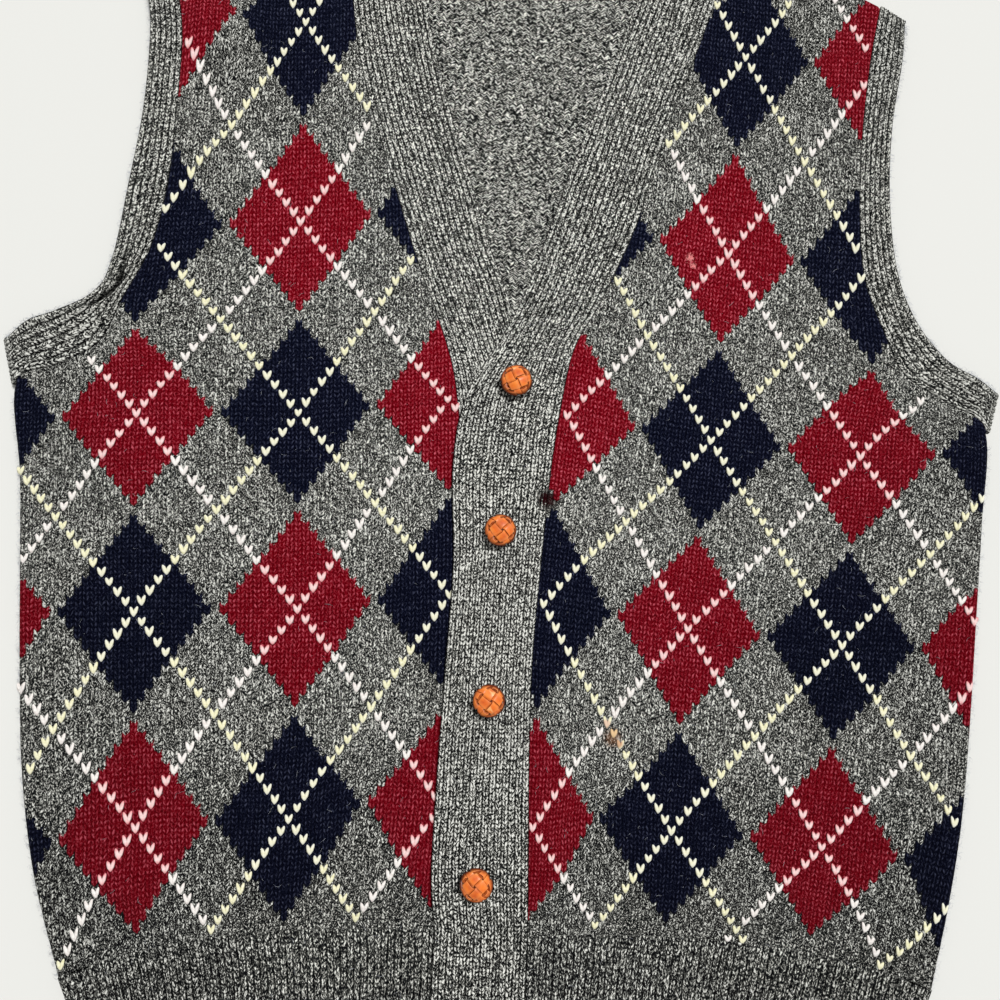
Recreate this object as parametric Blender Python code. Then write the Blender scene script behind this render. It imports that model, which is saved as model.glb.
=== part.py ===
"""A knitted V-neck sweater vest that buttons down the front, laid out flat on its back.

+X runs towards the wearer's left, +Y towards the shoulders and +Z up, away from the surface
it lies on. Sizes below are in millimetres and the model is built in metres.
"""

import math

import bmesh
import bpy
import numpy as np

MM = 0.001

# Cloth and layers
WALL = 2.5  # thickness of the knitted cloth
GAP = 0.3  # clearance between pieces that meet
LAYER = WALL + GAP
BACK_LEVEL = 0.0  # underside of the back
FRONT_LEVEL = LAYER  # underside of the fronts, which lie on the back
OVERLAP = LAYER  # how far the buttonhole band is lifted where it laps over the button band

# Ribbed bands
BAND_RIBS = 15
NECK_RIBS = 12
ARMHOLE_RIBS = 6
RIB_DEPTH = 0.8
HEM_RIBS = {"right": 27, "left": 30}  # two knit, one purl, across each front
HEM_RIB_DEPTH = 1.1

# Edges
FOLD_RADIUS = 2.3  # rounding where the front turns over to the back
SEAM_RADIUS = 1.1  # rounding beside a sewn seam
SEAM_DIP = 0.7

# Buttons
BUTTON_DIAMETER = 16.6
BUTTON_HEIGHT = 8.4
SHANK_DIAMETER = 2.4
BUTTONHOLE_LENGTH = 12.0
BUTTONHOLE_WIDTH = 3.2


def table(columns, *rows):
    """Named columns of numbers."""
    values = np.array(rows, float)
    return {name: values[:, i] for i, name in enumerate(columns.split())}


# One row for each cross-section of a front, from the hem rib (0) over the underarm (6) to the
# shoulder (14): its side or armhole edge, its seam with the band, and the band's free edge.
SECTION_COLUMNS = "side_x side_y seam_x seam_y free_x free_y"
RIGHT = table(
    SECTION_COLUMNS,
    (-197, -251, -16, -219, 24, -219),
    (-214, -204, -16, -190, 24, -190),
    (-225, -156, -16, -141, 24, -141),
    (-232, -102, -16, -86, 24, -86),
    (-237, -54, -16, -36, 24, -36),
    (-242, -8, -17, 11, 24, 11),
    (-249, 39, -22, 49, 19, 52),
    (-228, 50, -28, 71, 9, 78),
    (-208, 63, -38, 96, 1, 103),
    (-198, 87, -47, 118, -8, 124),
    (-186, 115, -57, 146, -17, 151),
    (-180, 151, -67, 174, -27, 179),
    (-179, 193, -78, 206, -37, 211),
    (-180, 236, -87, 243, -47, 248),
    (-187, 272, -96, 307, -65, 326),
)
LEFT = table(
    SECTION_COLUMNS,
    (223.5, -235, 28, -219, -17, -219),
    (232.6, -192, 27, -192, -20, -194),
    (238.8, -152, 25, -144, -20, -146),
    (243, -103, 24, -93, -19, -95),
    (246, -56, 26, -42, -18, -42),
    (249, -9, 29, 8, -21, 8),
    (251, 39, 33, 44, -16, 45),
    (231, 53, 38, 71, 1, 76),
    (209, 67, 49, 93, 12, 102),
    (199, 87, 58, 114, 20, 128),
    (188, 117, 69, 143, 29, 158),
    (185, 154, 78, 174, 38, 186),
    (186, 196, 89, 211, 49, 219),
    (190, 238, 101, 251, 61, 257),
    (197, 272, 117, 307, 84, 326),
)

# Free edge of each armhole band, a row for each section from the underarm (6) to the shoulder (14)
UNDERARM = 6
SHOULDER = 14
ARMHOLES = table(
    "right_x right_y left_x left_y",
    (-256, 63, 256, 60),
    (-246, 73, 247, 67),
    (-232, 79, 231, 76),
    (-212.5, 90.5, 215, 96),
    (-205.5, 108.5, 205, 123),
    (-201, 149, 201, 161),
    (-197, 193, 202, 201),
    (-198, 237, 207, 239),
    (-206, 263, 211, 261),
)

# Hem rib, from its lower edge up to the cloth above it
HEM_ROWS = table(
    "right_side_x right_side_y left_side_x left_side_y centre_y",
    (-182, -326, 206, -313, -301),
    (-184, -301, 210, -286, -274),
    (-188, -275, 216, -260, -246),
    (-197, -251, 223.5, -235, -219),
)

# Neck seam and free edge of the band behind the neck, from the right shoulder to the left
NECK = table(
    "seam_x seam_y free_x free_y",
    (-96, 307, -65, 326),
    (-84, 290, -58, 316),
    (-62, 280, -44, 312),
    (-26, 275, -19, 310),
    (10, 273, 10, 309),
    (46, 275, 39, 310),
    (82, 280, 64, 312),
    (104, 290, 77, 316),
    (117, 307, 84, 326),
)

# Soft ridges in the fronts: where each runs from and to, its height and its half width
FOLDS = table(
    "from_x from_y to_x to_y height half_width",
    (-238, 29, -150, -11, 1.7, 11),
    (-196, 103, -150, 51, 1.2, 12),
    (236, 25, 160, -19, 1.5, 12),
    (-190, -109, -120, -179, 1.3, 16),
    (205, -84, 135, -174, 1.4, 17),
    (60, 71, 95, 161, 1.0, 13),
    (-215, -194, -150, -211, 1.6, 12),
    (70, -204, 150, -197, 1.2, 14),
)
# Where the fastened buttons lie, from the foot of the V down
BUTTONS = table(
    "x y",
    (9.0, 51.8),
    (4.8, -24.7),
    (3.4, -108.6),
    (2.2, -195.4),
    (1.0, -283.0),
)

HEM_BOW = 10.0  # how far the hem seam rises between its two ends
HEM_BOW_ROWS = 2.0  # sections over which the rows above it straighten
BLOUSE_HEIGHT = 2.6  # how far the cloth swells just above the hem rib
BLOUSE_ROWS = 1.6  # sections over which the swell dies away
LIFT_WIDTH = 30.0  # how far the left front slopes up to the lapped band

STATIONS = np.concatenate([np.arange(0, 6.0, 1.0), np.arange(6.0, 14.01, 0.5)])


def smooth(values, at):
    """A smooth curve through one value per section, read at the section number `at`."""
    last = len(values) - 1
    i = int(min(max(math.floor(at), 0), last - 1))
    t = at - i
    before = values[i - 1] if i > 0 else 2 * values[0] - values[1]
    after = values[i + 2] if i + 2 <= last else 2 * values[last] - values[last - 1]
    start = (values[i + 1] - before) / 2
    end = (after - values[i]) / 2
    cubic = (2 * t**3 - 3 * t**2 + 1) * values[i] + (3 * t**2 - 2 * t**3) * values[i + 1]
    return cubic + (t**3 - 2 * t**2 + t) * start + (t**3 - t**2) * end


def point(columns, name, at):
    return np.array([smooth(columns[name + "_x"], at), smooth(columns[name + "_y"], at)])


def ease(value):
    value = min(max(value, 0.0), 1.0)
    return value * value * (3 - 2 * value)


def apart(a, b):
    """The two ends of a row, each drawn back by half the gap between neighbours."""
    way = (b - a) / np.linalg.norm(b - a)
    return a + way * GAP / 2, b - way * GAP / 2


def bowed(at, share):
    """Rise of a row of a front between its ends, most at the hem seam and nearer the side."""
    return HEM_BOW * math.sin(math.pi * share**0.8) * max(0.0, 1 - at / HEM_BOW_ROWS)


def lapped(at):
    """Lift of the buttonhole band: on the button band up to the V, then down beside it."""
    return OVERLAP * (1 - ease((at - 7.6) / 2.2))


def folds(x, y):
    """Height of the soft ridges over the flat cloth."""
    height = 0.0
    for i in range(len(FOLDS["height"])):
        start = np.array([FOLDS["from_x"][i], FOLDS["from_y"][i]])
        run = np.array([FOLDS["to_x"][i], FOLDS["to_y"][i]]) - start
        offset = np.array([x, y]) - start
        along = offset @ run / (run @ run)
        across = abs(offset[0] * run[1] - offset[1] * run[0]) / np.linalg.norm(run)
        fade = math.exp(-(((along - 0.5) / 0.42) ** 4))
        height += FOLDS["height"][i] * fade * math.exp(-((across / FOLDS["half_width"][i]) ** 2))
    return height


def edge_drop(distance, radius, depth):
    """How far the outer face falls towards an edge `distance` away, as part of a circle."""
    if distance >= radius:
        return 0.0
    return depth * (1 - math.sqrt(max(0.0, 1 - (1 - distance / radius) ** 2)))


def make_material(name, colour, roughness):
    material = bpy.data.materials.new(name)
    material.use_nodes = True
    shader = material.node_tree.nodes["Principled BSDF"]
    shader.inputs["Base Color"].default_value = (*colour, 1)
    shader.inputs["Roughness"].default_value = roughness
    shader.inputs["Metallic"].default_value = 0
    material.diffuse_color = (*colour, 1)
    return material


GREY_WOOL = (0.21, 0.205, 0.185)


def finish(name, mesh_builder, colour=GREY_WOOL, roughness=0.95):
    """Turn a bmesh in millimetres into a named object in metres."""
    bmesh.ops.remove_doubles(mesh_builder, verts=mesh_builder.verts, dist=0.0001)
    bmesh.ops.recalc_face_normals(mesh_builder, faces=mesh_builder.faces)
    bmesh.ops.scale(mesh_builder, vec=(MM, MM, MM), verts=mesh_builder.verts)
    mesh = bpy.data.meshes.new(name)
    mesh_builder.to_mesh(mesh)
    mesh_builder.free()
    mesh.materials.append(make_material(name + "_finish", colour, roughness))
    mesh.shade_smooth()
    mesh.set_sharp_from_angle(angle=math.radians(50))
    piece = bpy.data.objects.new(name, mesh)
    bpy.context.scene.collection.objects.link(piece)
    return piece


def wall(name, sections, ring=False, **look):
    """A cloth wall through sections, each a list of outer points and a list of inner points.

    Every section has the same number of outer points and of inner points, both listed from
    one edge to the other. An open wall is capped at its two ends, and a ring joins up.
    """
    builder = bmesh.new()
    loops = []
    for outer, inner in sections:
        around = list(outer) + list(reversed(inner))
        loops.append([builder.verts.new(p) for p in around])
    count = len(loops[0])
    following = loops[1:] + loops[:1] if ring else loops[1:]
    for loop, after in zip(loops, following):
        for i in range(count):
            j = (i + 1) % count
            builder.faces.new((loop[i], loop[j], after[j], after[i]))
    if not ring:
        matched = len(sections[0][0]) == len(sections[0][1])
        for loop in (loops[0], loops[-1]):
            if not matched:
                builder.faces.new(loop)
                continue
            for i in range(count // 2 - 1):
                builder.faces.new((loop[i], loop[i + 1], loop[count - 2 - i], loop[count - 1 - i]))
    return finish(name, builder, **look)


def spread(start, end, steps):
    """Distances from one edge of a row to the other, closer together at both edges."""
    length = np.linalg.norm(end - start)
    edge = [0.0, 0.6, FOLD_RADIUS]
    middle = np.linspace(edge[-1], length - edge[-1], steps)
    return [*edge[:-1], *middle, length - edge[1], length], length


def front(name, sections, lift_edge, **look):
    """One front, from the hem rib to the shoulder, between its side and its band."""
    rows = []
    first, last = STATIONS[0], STATIONS[-1]
    for at in STATIONS:
        side, seam = apart(point(sections, "side", at), point(sections, "seam", at))
        distances, length = spread(side, seam, 11)
        way = (seam - side) / length
        end_drop = SEAM_DIP if at in (first, last) else 0.0
        swell = BLOUSE_HEIGHT * math.sin(math.pi * ease(at / BLOUSE_ROWS)) if at < BLOUSE_ROWS else 0.0
        outer, inner = [], []
        for distance in distances:
            x, y = side + way * distance
            y += bowed(at, distance / length) + (GAP / 2 if at == first else 0.0)
            from_seam = length - distance
            at_edge = ease(distance / 25) * ease(from_seam / 18)
            rise = (folds(x, y) + swell) * at_edge * (0.0 if at in (first, last) else 1.0)
            if lift_edge:
                rise += lapped(at) * (1 - ease(from_seam / LIFT_WIDTH))
            low = FRONT_LEVEL + rise
            side_depth, side_radius = (
                (WALL - 0.3, FOLD_RADIUS) if at <= UNDERARM else (SEAM_DIP, SEAM_RADIUS)
            )
            high = low + WALL - end_drop
            high -= edge_drop(distance, side_radius, side_depth - (end_drop if at <= UNDERARM else 0))
            high -= edge_drop(from_seam, SEAM_RADIUS, 0.0 if end_drop else SEAM_DIP)
            outer.append((x, y, high))
            inner.append((x, y, low))
        rows.append((outer, inner))
    return wall(name, rows, **look)


def ribbed(start, end, ribs, depth, level):
    """Outer and inner points across a band whose ribs run along it."""
    outer = []
    count = 2 * ribs
    for i in range(count + 1):
        x, y = start + (end - start) * i / count
        valley = depth if i % 2 == 0 else 0.0
        outer.append((x, y, level + WALL - valley))
    inner = [(*start, level), (*end, level)]
    return outer, inner


def front_band(name, sections, level_at, **look):
    """A front band with its V-neck part, from the hem to the shoulder."""
    rows = []
    hem_y = HEM_ROWS["centre_y"]
    for y in hem_y[:-1]:
        seam = np.array([sections["seam_x"][0], y])
        free = np.array([sections["free_x"][0], y])
        rows.append(ribbed(free, apart(free, seam)[1], BAND_RIBS, RIB_DEPTH, level_at(0)))
    for at in STATIONS:
        free = point(sections, "free", at)
        seam = apart(free, point(sections, "seam", at))[1]
        rows.append(ribbed(free, seam, BAND_RIBS, RIB_DEPTH, level_at(at)))
    return wall(name, rows, **look)


def hem_rib(name, side, centre_x, lift_edge, **look):
    """The ribbed hem under one front. Its ribs run up the cloth, two knit and one purl."""
    rows = []
    ribs = HEM_RIBS[side]
    for i, centre_y in enumerate(HEM_ROWS["centre_y"]):
        at_side = np.array([HEM_ROWS[side + "_side_x"][i], HEM_ROWS[side + "_side_y"][i]])
        at_centre = np.array([centre_x, centre_y])
        if i == len(HEM_ROWS["centre_y"]) - 1:
            at_side[1] -= GAP / 2
            at_centre[1] -= GAP / 2
        start, end = apart(at_side, at_centre)
        length = np.linalg.norm(end - start)
        shares = [0.0]
        lows = [HEM_RIB_DEPTH]
        for rib in range(ribs):
            for share, low in ((0.2, 0.0), (0.66, 0.0), (0.86, HEM_RIB_DEPTH)):
                shares.append((rib + share) / ribs)
                lows.append(low)
        shares.append(1.0)
        lows.append(HEM_RIB_DEPTH)
        outer, inner = [], []
        for share, low in zip(shares, lows):
            x, y = start + (end - start) * share
            y += bowed(0, share)
            lift = OVERLAP * (1 - ease(length * (1 - share) / LIFT_WIDTH)) if lift_edge else 0.0
            high = FRONT_LEVEL + lift + WALL - low
            high -= edge_drop(length * share, 2 * FOLD_RADIUS, WALL - HEM_RIB_DEPTH - 0.4)
            outer.append((x, y, high))
            inner.append((x, y, FRONT_LEVEL + lift))
        rows.append((outer, inner))
    return wall(name, rows, **look)


def back_edge():
    """The back's upper edge, from the right shoulder along the neck seam to the left one."""
    neck = []
    for at in np.arange(0, len(NECK["seam_x"]) - 0.99, 0.5):
        seam, free = point(NECK, "seam", at), point(NECK, "free", at)
        neck.append(apart(seam, 2 * seam - free)[0])
    right, left = apart(point(RIGHT, "side", SHOULDER), point(LEFT, "side", SHOULDER))
    edge = []
    for start, end in ((right, neck[0]), (neck[-1], left)):
        length = np.linalg.norm(end - start)
        shares = [0.0, 0.6 / length, FOLD_RADIUS / length, 0.5]
        if start is neck[-1]:
            shares = [0.5, 1 - FOLD_RADIUS / length, 1 - 0.6 / length, 1.0]
        edge.append([start + (end - start) * share for share in shares])
    return [*edge[0], *neck, *edge[1]]


def back_shares(upper):
    """Where the points of the back's upper edge lie between its two shoulders, from 0 to 1."""
    return [(p[0] - upper[0][0]) / (upper[-1][0] - upper[0][0]) for p in upper]


def hem_y(row, x):
    """Height of the hem at x: bowed under each front and level under the bands."""
    centre_y = HEM_ROWS["centre_y"][row]
    for side, sections in (("right", RIGHT), ("left", LEFT)):
        side_x, side_y = HEM_ROWS[side + "_side_x"][row], HEM_ROWS[side + "_side_y"][row]
        share = max(0.0, (x - side_x) / (sections["seam_x"][0] - side_x))
        if (x < 0) == (side == "right") and share < 1:
            return side_y + (centre_y - side_y) * share + bowed(0, share)
    return centre_y


def back(name, **look):
    """The back, whose outer face lies on the surface."""
    rows = []
    upper = back_edge()
    start, end = upper[0], upper[-1]
    shares = back_shares(upper)
    for at in STATIONS:
        right, left = point(RIGHT, "side", at), point(LEFT, "side", at)
        if at > UNDERARM:
            right, left = apart(right, left)
        length = np.linalg.norm(left - right)
        weight = ease((at - UNDERARM) / (SHOULDER - UNDERARM)) ** 1.5
        outer, inner = [], []
        for share, top in zip(shares, upper):
            x, y = right + (left - right) * share + weight * (top - start - (end - start) * share)
            if at == STATIONS[0]:
                y = hem_y(-1, x) + GAP / 2
            distance = length * min(share, 1 - share)
            low = edge_drop(distance, FOLD_RADIUS, WALL - 0.3) if at <= UNDERARM else 0.0
            outer.append((x, y, BACK_LEVEL + low))
            inner.append((x, y, BACK_LEVEL + WALL))
        rows.append((outer, inner))
    return wall(name, rows, **look)


def hem_rib_back(name, **look):
    rows = []
    for i, right_x in enumerate(HEM_ROWS["right_side_x"]):
        width = HEM_ROWS["left_side_x"][i] - right_x
        outer, inner = [], []
        for share in back_shares(back_edge()):
            x = right_x + width * share
            y = hem_y(i, x) - (GAP / 2 if i == len(HEM_ROWS["centre_y"]) - 1 else 0.0)
            low = edge_drop(width * min(share, 1 - share), FOLD_RADIUS, WALL - 0.3)
            outer.append((x, y, BACK_LEVEL + low))
            inner.append((x, y, BACK_LEVEL + WALL))
        rows.append((outer, inner))
    return wall(name, rows, **look)


def neck_band(name, **look):
    """The band behind the neck, its inside showing between the fronts."""
    rows = []
    for at in np.arange(0, len(NECK["seam_x"]) - 0.99, 0.5):
        seam, free = point(NECK, "seam", at), point(NECK, "free", at)
        rows.append(ribbed(apart(seam, free)[0], free, NECK_RIBS, RIB_DEPTH, BACK_LEVEL))
    return wall(name, rows, **look)


def armhole_band(name, side, sections, **look):
    """A flattened ring: down the front armhole, round the underarm, up the back and over."""
    def across(at, offset, height, depth):
        free = point(ARMHOLES, side, at - UNDERARM)
        seam = apart(free, point(sections, "side", at))[1]
        points = []
        count = 2 * ARMHOLE_RIBS
        for i in range(count + 1):
            x, y = free + (seam - free) * i / count + offset
            points.append((x, y, height - (depth if i % 2 == 0 else 0.0)))
        return points, free, seam

    def turn(at, outward):
        """The sections round a fold, from the front layer down to the back layer."""
        _, free, seam = across(at, np.zeros(2), 0.0, 0.0)
        along = (seam - free) / np.linalg.norm(seam - free)
        away = np.array([along[1], -along[0]])
        if away @ outward < 0:
            away = -away
        made = []
        centre = WALL + GAP / 2
        for angle in (60, 90, 120):
            reach = math.sin(math.radians(angle))
            rise = math.cos(math.radians(angle))
            outer_radius, inner_radius = centre, GAP / 2
            outer, _, _ = across(at, away * reach * outer_radius, centre + rise * outer_radius, 0.0)
            inner = [
                (*(end + away * reach * inner_radius), centre + rise * inner_radius)
                for end in (free, seam)
            ]
            made.append((outer, inner))
        return made

    stations = [at for at in STATIONS if at >= UNDERARM]
    rows = []
    for at in stations:
        outer, free, seam = across(at, np.zeros(2), FRONT_LEVEL + WALL, RIB_DEPTH)
        rows.append((outer, [(*free, FRONT_LEVEL), (*seam, FRONT_LEVEL)]))
    rows += turn(SHOULDER, np.array([0.0, 1.0]))
    for at in reversed(stations):
        outer, free, seam = across(at, np.zeros(2), BACK_LEVEL, 0.0)
        rows.append((outer, [(*free, BACK_LEVEL + WALL), (*seam, BACK_LEVEL + WALL)]))
    outward = np.array([-1.0 if side == "right" else 1.0, -1.0])
    rows += list(reversed(turn(UNDERARM, outward)))
    return wall(name, rows, ring=True, **look)


def button(name, x, y, level, **look):
    """A domed leather knot button on a thread shank that reaches down to the button band."""
    builder = bmesh.new()
    radius = BUTTON_DIAMETER / 2
    shank = SHANK_DIAMETER / 2
    base = level + GAP
    profile = [(0.0, FRONT_LEVEL + WALL + GAP), (shank, FRONT_LEVEL + WALL + GAP), (shank, base)]
    for angle in (-60, -25, 0, 25, 48, 70):
        reach = radius * (0.30 + 0.70 * math.cos(math.radians(angle)))
        height = BUTTON_HEIGHT * (0.36 + (0.36 if angle < 0 else 0.64) * math.sin(math.radians(angle)))
        profile.append((reach, base + height))
    profile.append((0.0, base + BUTTON_HEIGHT))
    verts = [builder.verts.new((x, 0.0, z)) for x, z in profile]
    edges = [builder.edges.new(pair) for pair in zip(verts, verts[1:])]
    bmesh.ops.spin(
        builder,
        geom=verts + edges,
        cent=(0, 0, 0),
        axis=(0, 0, 1),
        angle=2 * math.pi,
        steps=16,
        use_merge=True,
    )
    bmesh.ops.translate(builder, verts=builder.verts, vec=(x, y, 0))
    return finish(name, builder, **look)


def cut_buttonholes(band):
    """Slits along the band, under each button."""
    builder = bmesh.new()
    for x, y in zip(BUTTONS["x"], BUTTONS["y"]):
        made = bmesh.ops.create_cube(builder, size=1.0)["verts"]
        size = (BUTTONHOLE_WIDTH, BUTTONHOLE_LENGTH, 4 * WALL)
        bmesh.ops.scale(builder, vec=size, verts=made)
        bmesh.ops.translate(builder, vec=(x, y, FRONT_LEVEL + LAYER + WALL / 2), verts=made)
    cutter = finish("buttonhole_cutter", builder)
    cutter.hide_render = True
    cutter.display_type = "WIRE"
    slits = band.modifiers.new("buttonholes", "BOOLEAN")
    slits.operation = "DIFFERENCE"
    slits.object = cutter


def main():
    for leftover in list(bpy.data.objects):
        bpy.data.objects.remove(leftover, do_unlink=True)

    back("back")
    hem_rib_back("hem_rib_back")
    front("front_right", RIGHT, lift_edge=False)
    front("front_left", LEFT, lift_edge=True)
    hem_rib("hem_rib_front_right", "right", RIGHT["seam_x"][0], lift_edge=False)
    hem_rib("hem_rib_front_left", "left", LEFT["seam_x"][0], lift_edge=True)
    front_band("button_band", RIGHT, lambda at: FRONT_LEVEL)
    lapping = front_band("buttonhole_band", LEFT, lambda at: FRONT_LEVEL + lapped(at))
    cut_buttonholes(lapping)
    neck_band("neck_band_back")
    armhole_band("armhole_band_right", "right", RIGHT)
    armhole_band("armhole_band_left", "left", LEFT)
    top = FRONT_LEVEL + LAYER + WALL
    for number, (x, y) in enumerate(zip(BUTTONS["x"], BUTTONS["y"]), start=1):
        button(f"button_{number}", x, y, top, colour=(0.62, 0.19, 0.045), roughness=0.42)


main()
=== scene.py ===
import math

import bmesh
import bpy
import numpy as np
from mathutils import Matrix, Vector


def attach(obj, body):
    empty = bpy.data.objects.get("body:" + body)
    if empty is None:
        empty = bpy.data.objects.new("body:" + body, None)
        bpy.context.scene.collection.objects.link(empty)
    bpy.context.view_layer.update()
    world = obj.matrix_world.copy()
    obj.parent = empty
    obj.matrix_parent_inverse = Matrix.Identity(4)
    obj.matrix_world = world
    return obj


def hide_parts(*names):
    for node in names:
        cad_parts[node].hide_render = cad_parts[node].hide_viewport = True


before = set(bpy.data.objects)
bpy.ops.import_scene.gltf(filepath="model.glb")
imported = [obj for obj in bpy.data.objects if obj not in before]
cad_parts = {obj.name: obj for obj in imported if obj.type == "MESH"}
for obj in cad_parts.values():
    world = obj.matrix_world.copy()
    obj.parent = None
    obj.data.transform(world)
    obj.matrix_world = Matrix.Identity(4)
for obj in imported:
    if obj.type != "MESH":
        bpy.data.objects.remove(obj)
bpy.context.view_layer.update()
print("frame loaded")

# Lengths here are millimetres until a mesh is made.
# +X is the wearer's left, +Y runs to the shoulders, +Z up from the surface.
millimetre = 0.001
cloth = {
    "wall": 2.5,
    "thinnest": 0.3,  # where it rounds off to an edge
    "gap": 0.3,  # between layers
    "seam": 0.04,  # between pieces that are knitted together
    "frontLevel": 2.8,
    "lap": 2.8,  # lift of the buttonhole band where it lies on the button band
    "lapSlope": 30.0,
    "lapEnd": (7.6, 2.2),  # the row of the table from which the lap sinks, and over how many rows
    "foldRadius": 2.3,
    "seamRadius": 1.1,
    "seamDip": 0.7,
    "hemBow": 10.0,
    "swell": 2.4,  # the cloth puffs just above the hem rib
    "swellReach": 78.0,
    # how far from each edge of a front its creases reach their full height
    "calm": {"side": 25, "seam": 18, "hem": 14, "shoulder": 20},
}


def table(columns, *rows):
    values = np.array(rows, float)
    return {name: values[:, i] for i, name in enumerate(columns.split())}


def curve(values, at):
    # a smooth curve through one value per row of a table, read at the row numbers at
    values = np.asarray(values, float)
    at = np.asarray(at, float)
    last = len(values) - 1
    i = np.clip(np.floor(at).astype(int), 0, last - 1)
    t = at - i
    ends = np.concatenate([[2 * values[0] - values[1]], values, [2 * values[-1] - values[-2]]])
    if values.ndim == 1:
        before, here, there, after = (ends[i + k] for k in range(4))
    else:
        each = np.arange(len(at))
        before, here, there, after = (ends[i + k, each] for k in range(4))
    start, end = (there - before) / 2, (after - here) / 2
    cubic = (2 * t**3 - 3 * t**2 + 1) * here + (3 * t**2 - 2 * t**3) * there
    return cubic + (t**3 - 2 * t**2 + t) * start + (t**3 - t**2) * end


def path(values, edge, at):
    # points along one of a table's edges
    return np.column_stack([curve(values[f"{edge}_{axis}"], at) for axis in "xy"])


def grid(*values):
    # numbers that belong to the points of a grid, side by side
    return np.stack(np.broadcast_arrays(*values), axis=2)


def ease(value):
    value = np.clip(value, 0.0, 1.0)
    return value * value * (3 - 2 * value)


# From the hem rib (0) over the underarm (6) to the shoulder (14)
sectionColumns = "side_x side_y seam_x seam_y free_x free_y"
rightSections = table(
    sectionColumns,
    (-197, -251, -16, -219, 24, -219),
    (-214, -204, -16, -190, 24, -190),
    (-225, -156, -16, -141, 24, -141),
    (-232, -102, -16, -86, 24, -86),
    (-237, -54, -16, -36, 24, -36),
    (-242, -8, -17, 11, 24, 11),
    (-249, 39, -22, 49, 19, 52),
    (-228, 50, -28, 71, 9, 78),
    (-208, 63, -38, 96, 1, 103),
    (-198, 87, -47, 118, -8, 124),
    (-186, 115, -57, 146, -17, 151),
    (-180, 151, -67, 174, -27, 179),
    (-179, 193, -78, 206, -37, 211),
    (-180, 236, -87, 243, -47, 248),
    (-187, 272, -96, 307, -65, 326),
)
leftSections = table(
    sectionColumns,
    (223.5, -235, 28, -219, -17, -219),
    (232.6, -192, 27, -192, -20, -194),
    (238.8, -152, 25, -144, -20, -146),
    (243, -103, 24, -93, -19, -95),
    (246, -56, 26, -42, -18, -42),
    (249, -9, 29, 8, -21, 8),
    (251, 39, 33, 44, -16, 45),
    (231, 53, 38, 71, 1, 76),
    (209, 67, 49, 93, 12, 102),
    (199, 87, 58, 114, 20, 128),
    (188, 117, 69, 143, 29, 158),
    (185, 154, 76.5, 174, 38, 186),
    (186, 196, 88, 211, 49, 219),
    (190, 238, 101, 251, 61, 257),
    (195, 269, 117, 307, 84, 326),
)
underarm, shoulder = 6, 14
armholeFree = table(
    "right_x right_y left_x left_y",
    (-256, 63, 256, 60),
    (-246, 73, 247, 67),
    (-232, 79, 231, 76),
    (-212.5, 90.5, 215, 96),
    (-205.5, 108.5, 205, 123),
    (-201, 149, 201, 161),
    (-197, 193, 202, 201),
    (-197.5, 237, 207.3, 239.5),
    (-202, 264, 208.5, 260.5),
)
hemRows = table(
    "right_x right_y left_x left_y centre_y",
    (-182, -326, 206, -313, -301),
    (-184, -301, 210, -286, -274),
    (-188, -275, 216, -260, -246),
    (-197, -251, 223.5, -235, -219),
)
neckRows = table(
    "seam_x seam_y free_x free_y",
    (-96, 307, -65, 326),
    (-84, 290, -58, 316),
    (-62, 280, -44, 312),
    (-26, 275, -19, 310),
    (10, 273, 10, 309),
    (46, 275, 39, 310),
    (82, 280, 64, 312),
    (104, 290, 77, 316),
    (117, 307, 84, 326),
)
creases = table(
    "from_x from_y to_x to_y height half_width",
    (-238, 29, -150, -11, 1.7, 11),
    (-196, 103, -150, 51, 1.2, 12),
    (236, 25, 160, -19, 1.5, 12),
    (-190, -109, -120, -179, 1.3, 16),
    (205, -84, 135, -174, 1.4, 17),
    (60, 71, 95, 161, 1.0, 13),
    (-215, -194, -150, -211, 1.6, 12),
    (70, -204, 150, -197, 1.2, 14),
)

# Where the diamonds' centres lie on each front, as the cloth happens to lie: four columns of
# diamonds 20 wales apart, from the right, and a row of the table for each row of diamonds
diamondWales, diamondRows = 20, 40
halfWales, halfRows = 9.4, 19.2  # from a diamond's middle to its corners
rightDiamonds = table(
    "x0 y0 x1 y1 x2 y2 x3 y3",
    (-222, -309, -154, -284, -90, -269, -24, -262),
    (-242, -200, -166, -180, -91, -172, -17, -163),
    (-256, -90, -177, -76, -95, -70, -19, -59),
    (-262, 15, -185, 25, -102, 30, -26, 41),
    (-268, 114, -188, 123, -108, 132, -33, 142),
    (-263, 219, -187, 230, -114, 243, -42, 254),
    (-258, 322, -186, 332, -118, 352, -48, 366),
)
leftDiamonds = table(
    "x0 y0 x1 y1 x2 y2 x3 y3",
    (26, -260, 92, -258, 158, -258, 222, -290),
    (28, -170, 96, -168, 169, -172, 243, -186),
    (28, -61, 101, -70, 178, -74, 255, -79),
    (36, 35, 110, 26, 186, 22, 261, 17),
    (42, 136, 116, 126, 190, 121, 266, 118),
    (52, 246, 123, 235, 194, 233, 267, 228),
    (60, 352, 128, 344, 198, 336, 266, 330),
)
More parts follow.
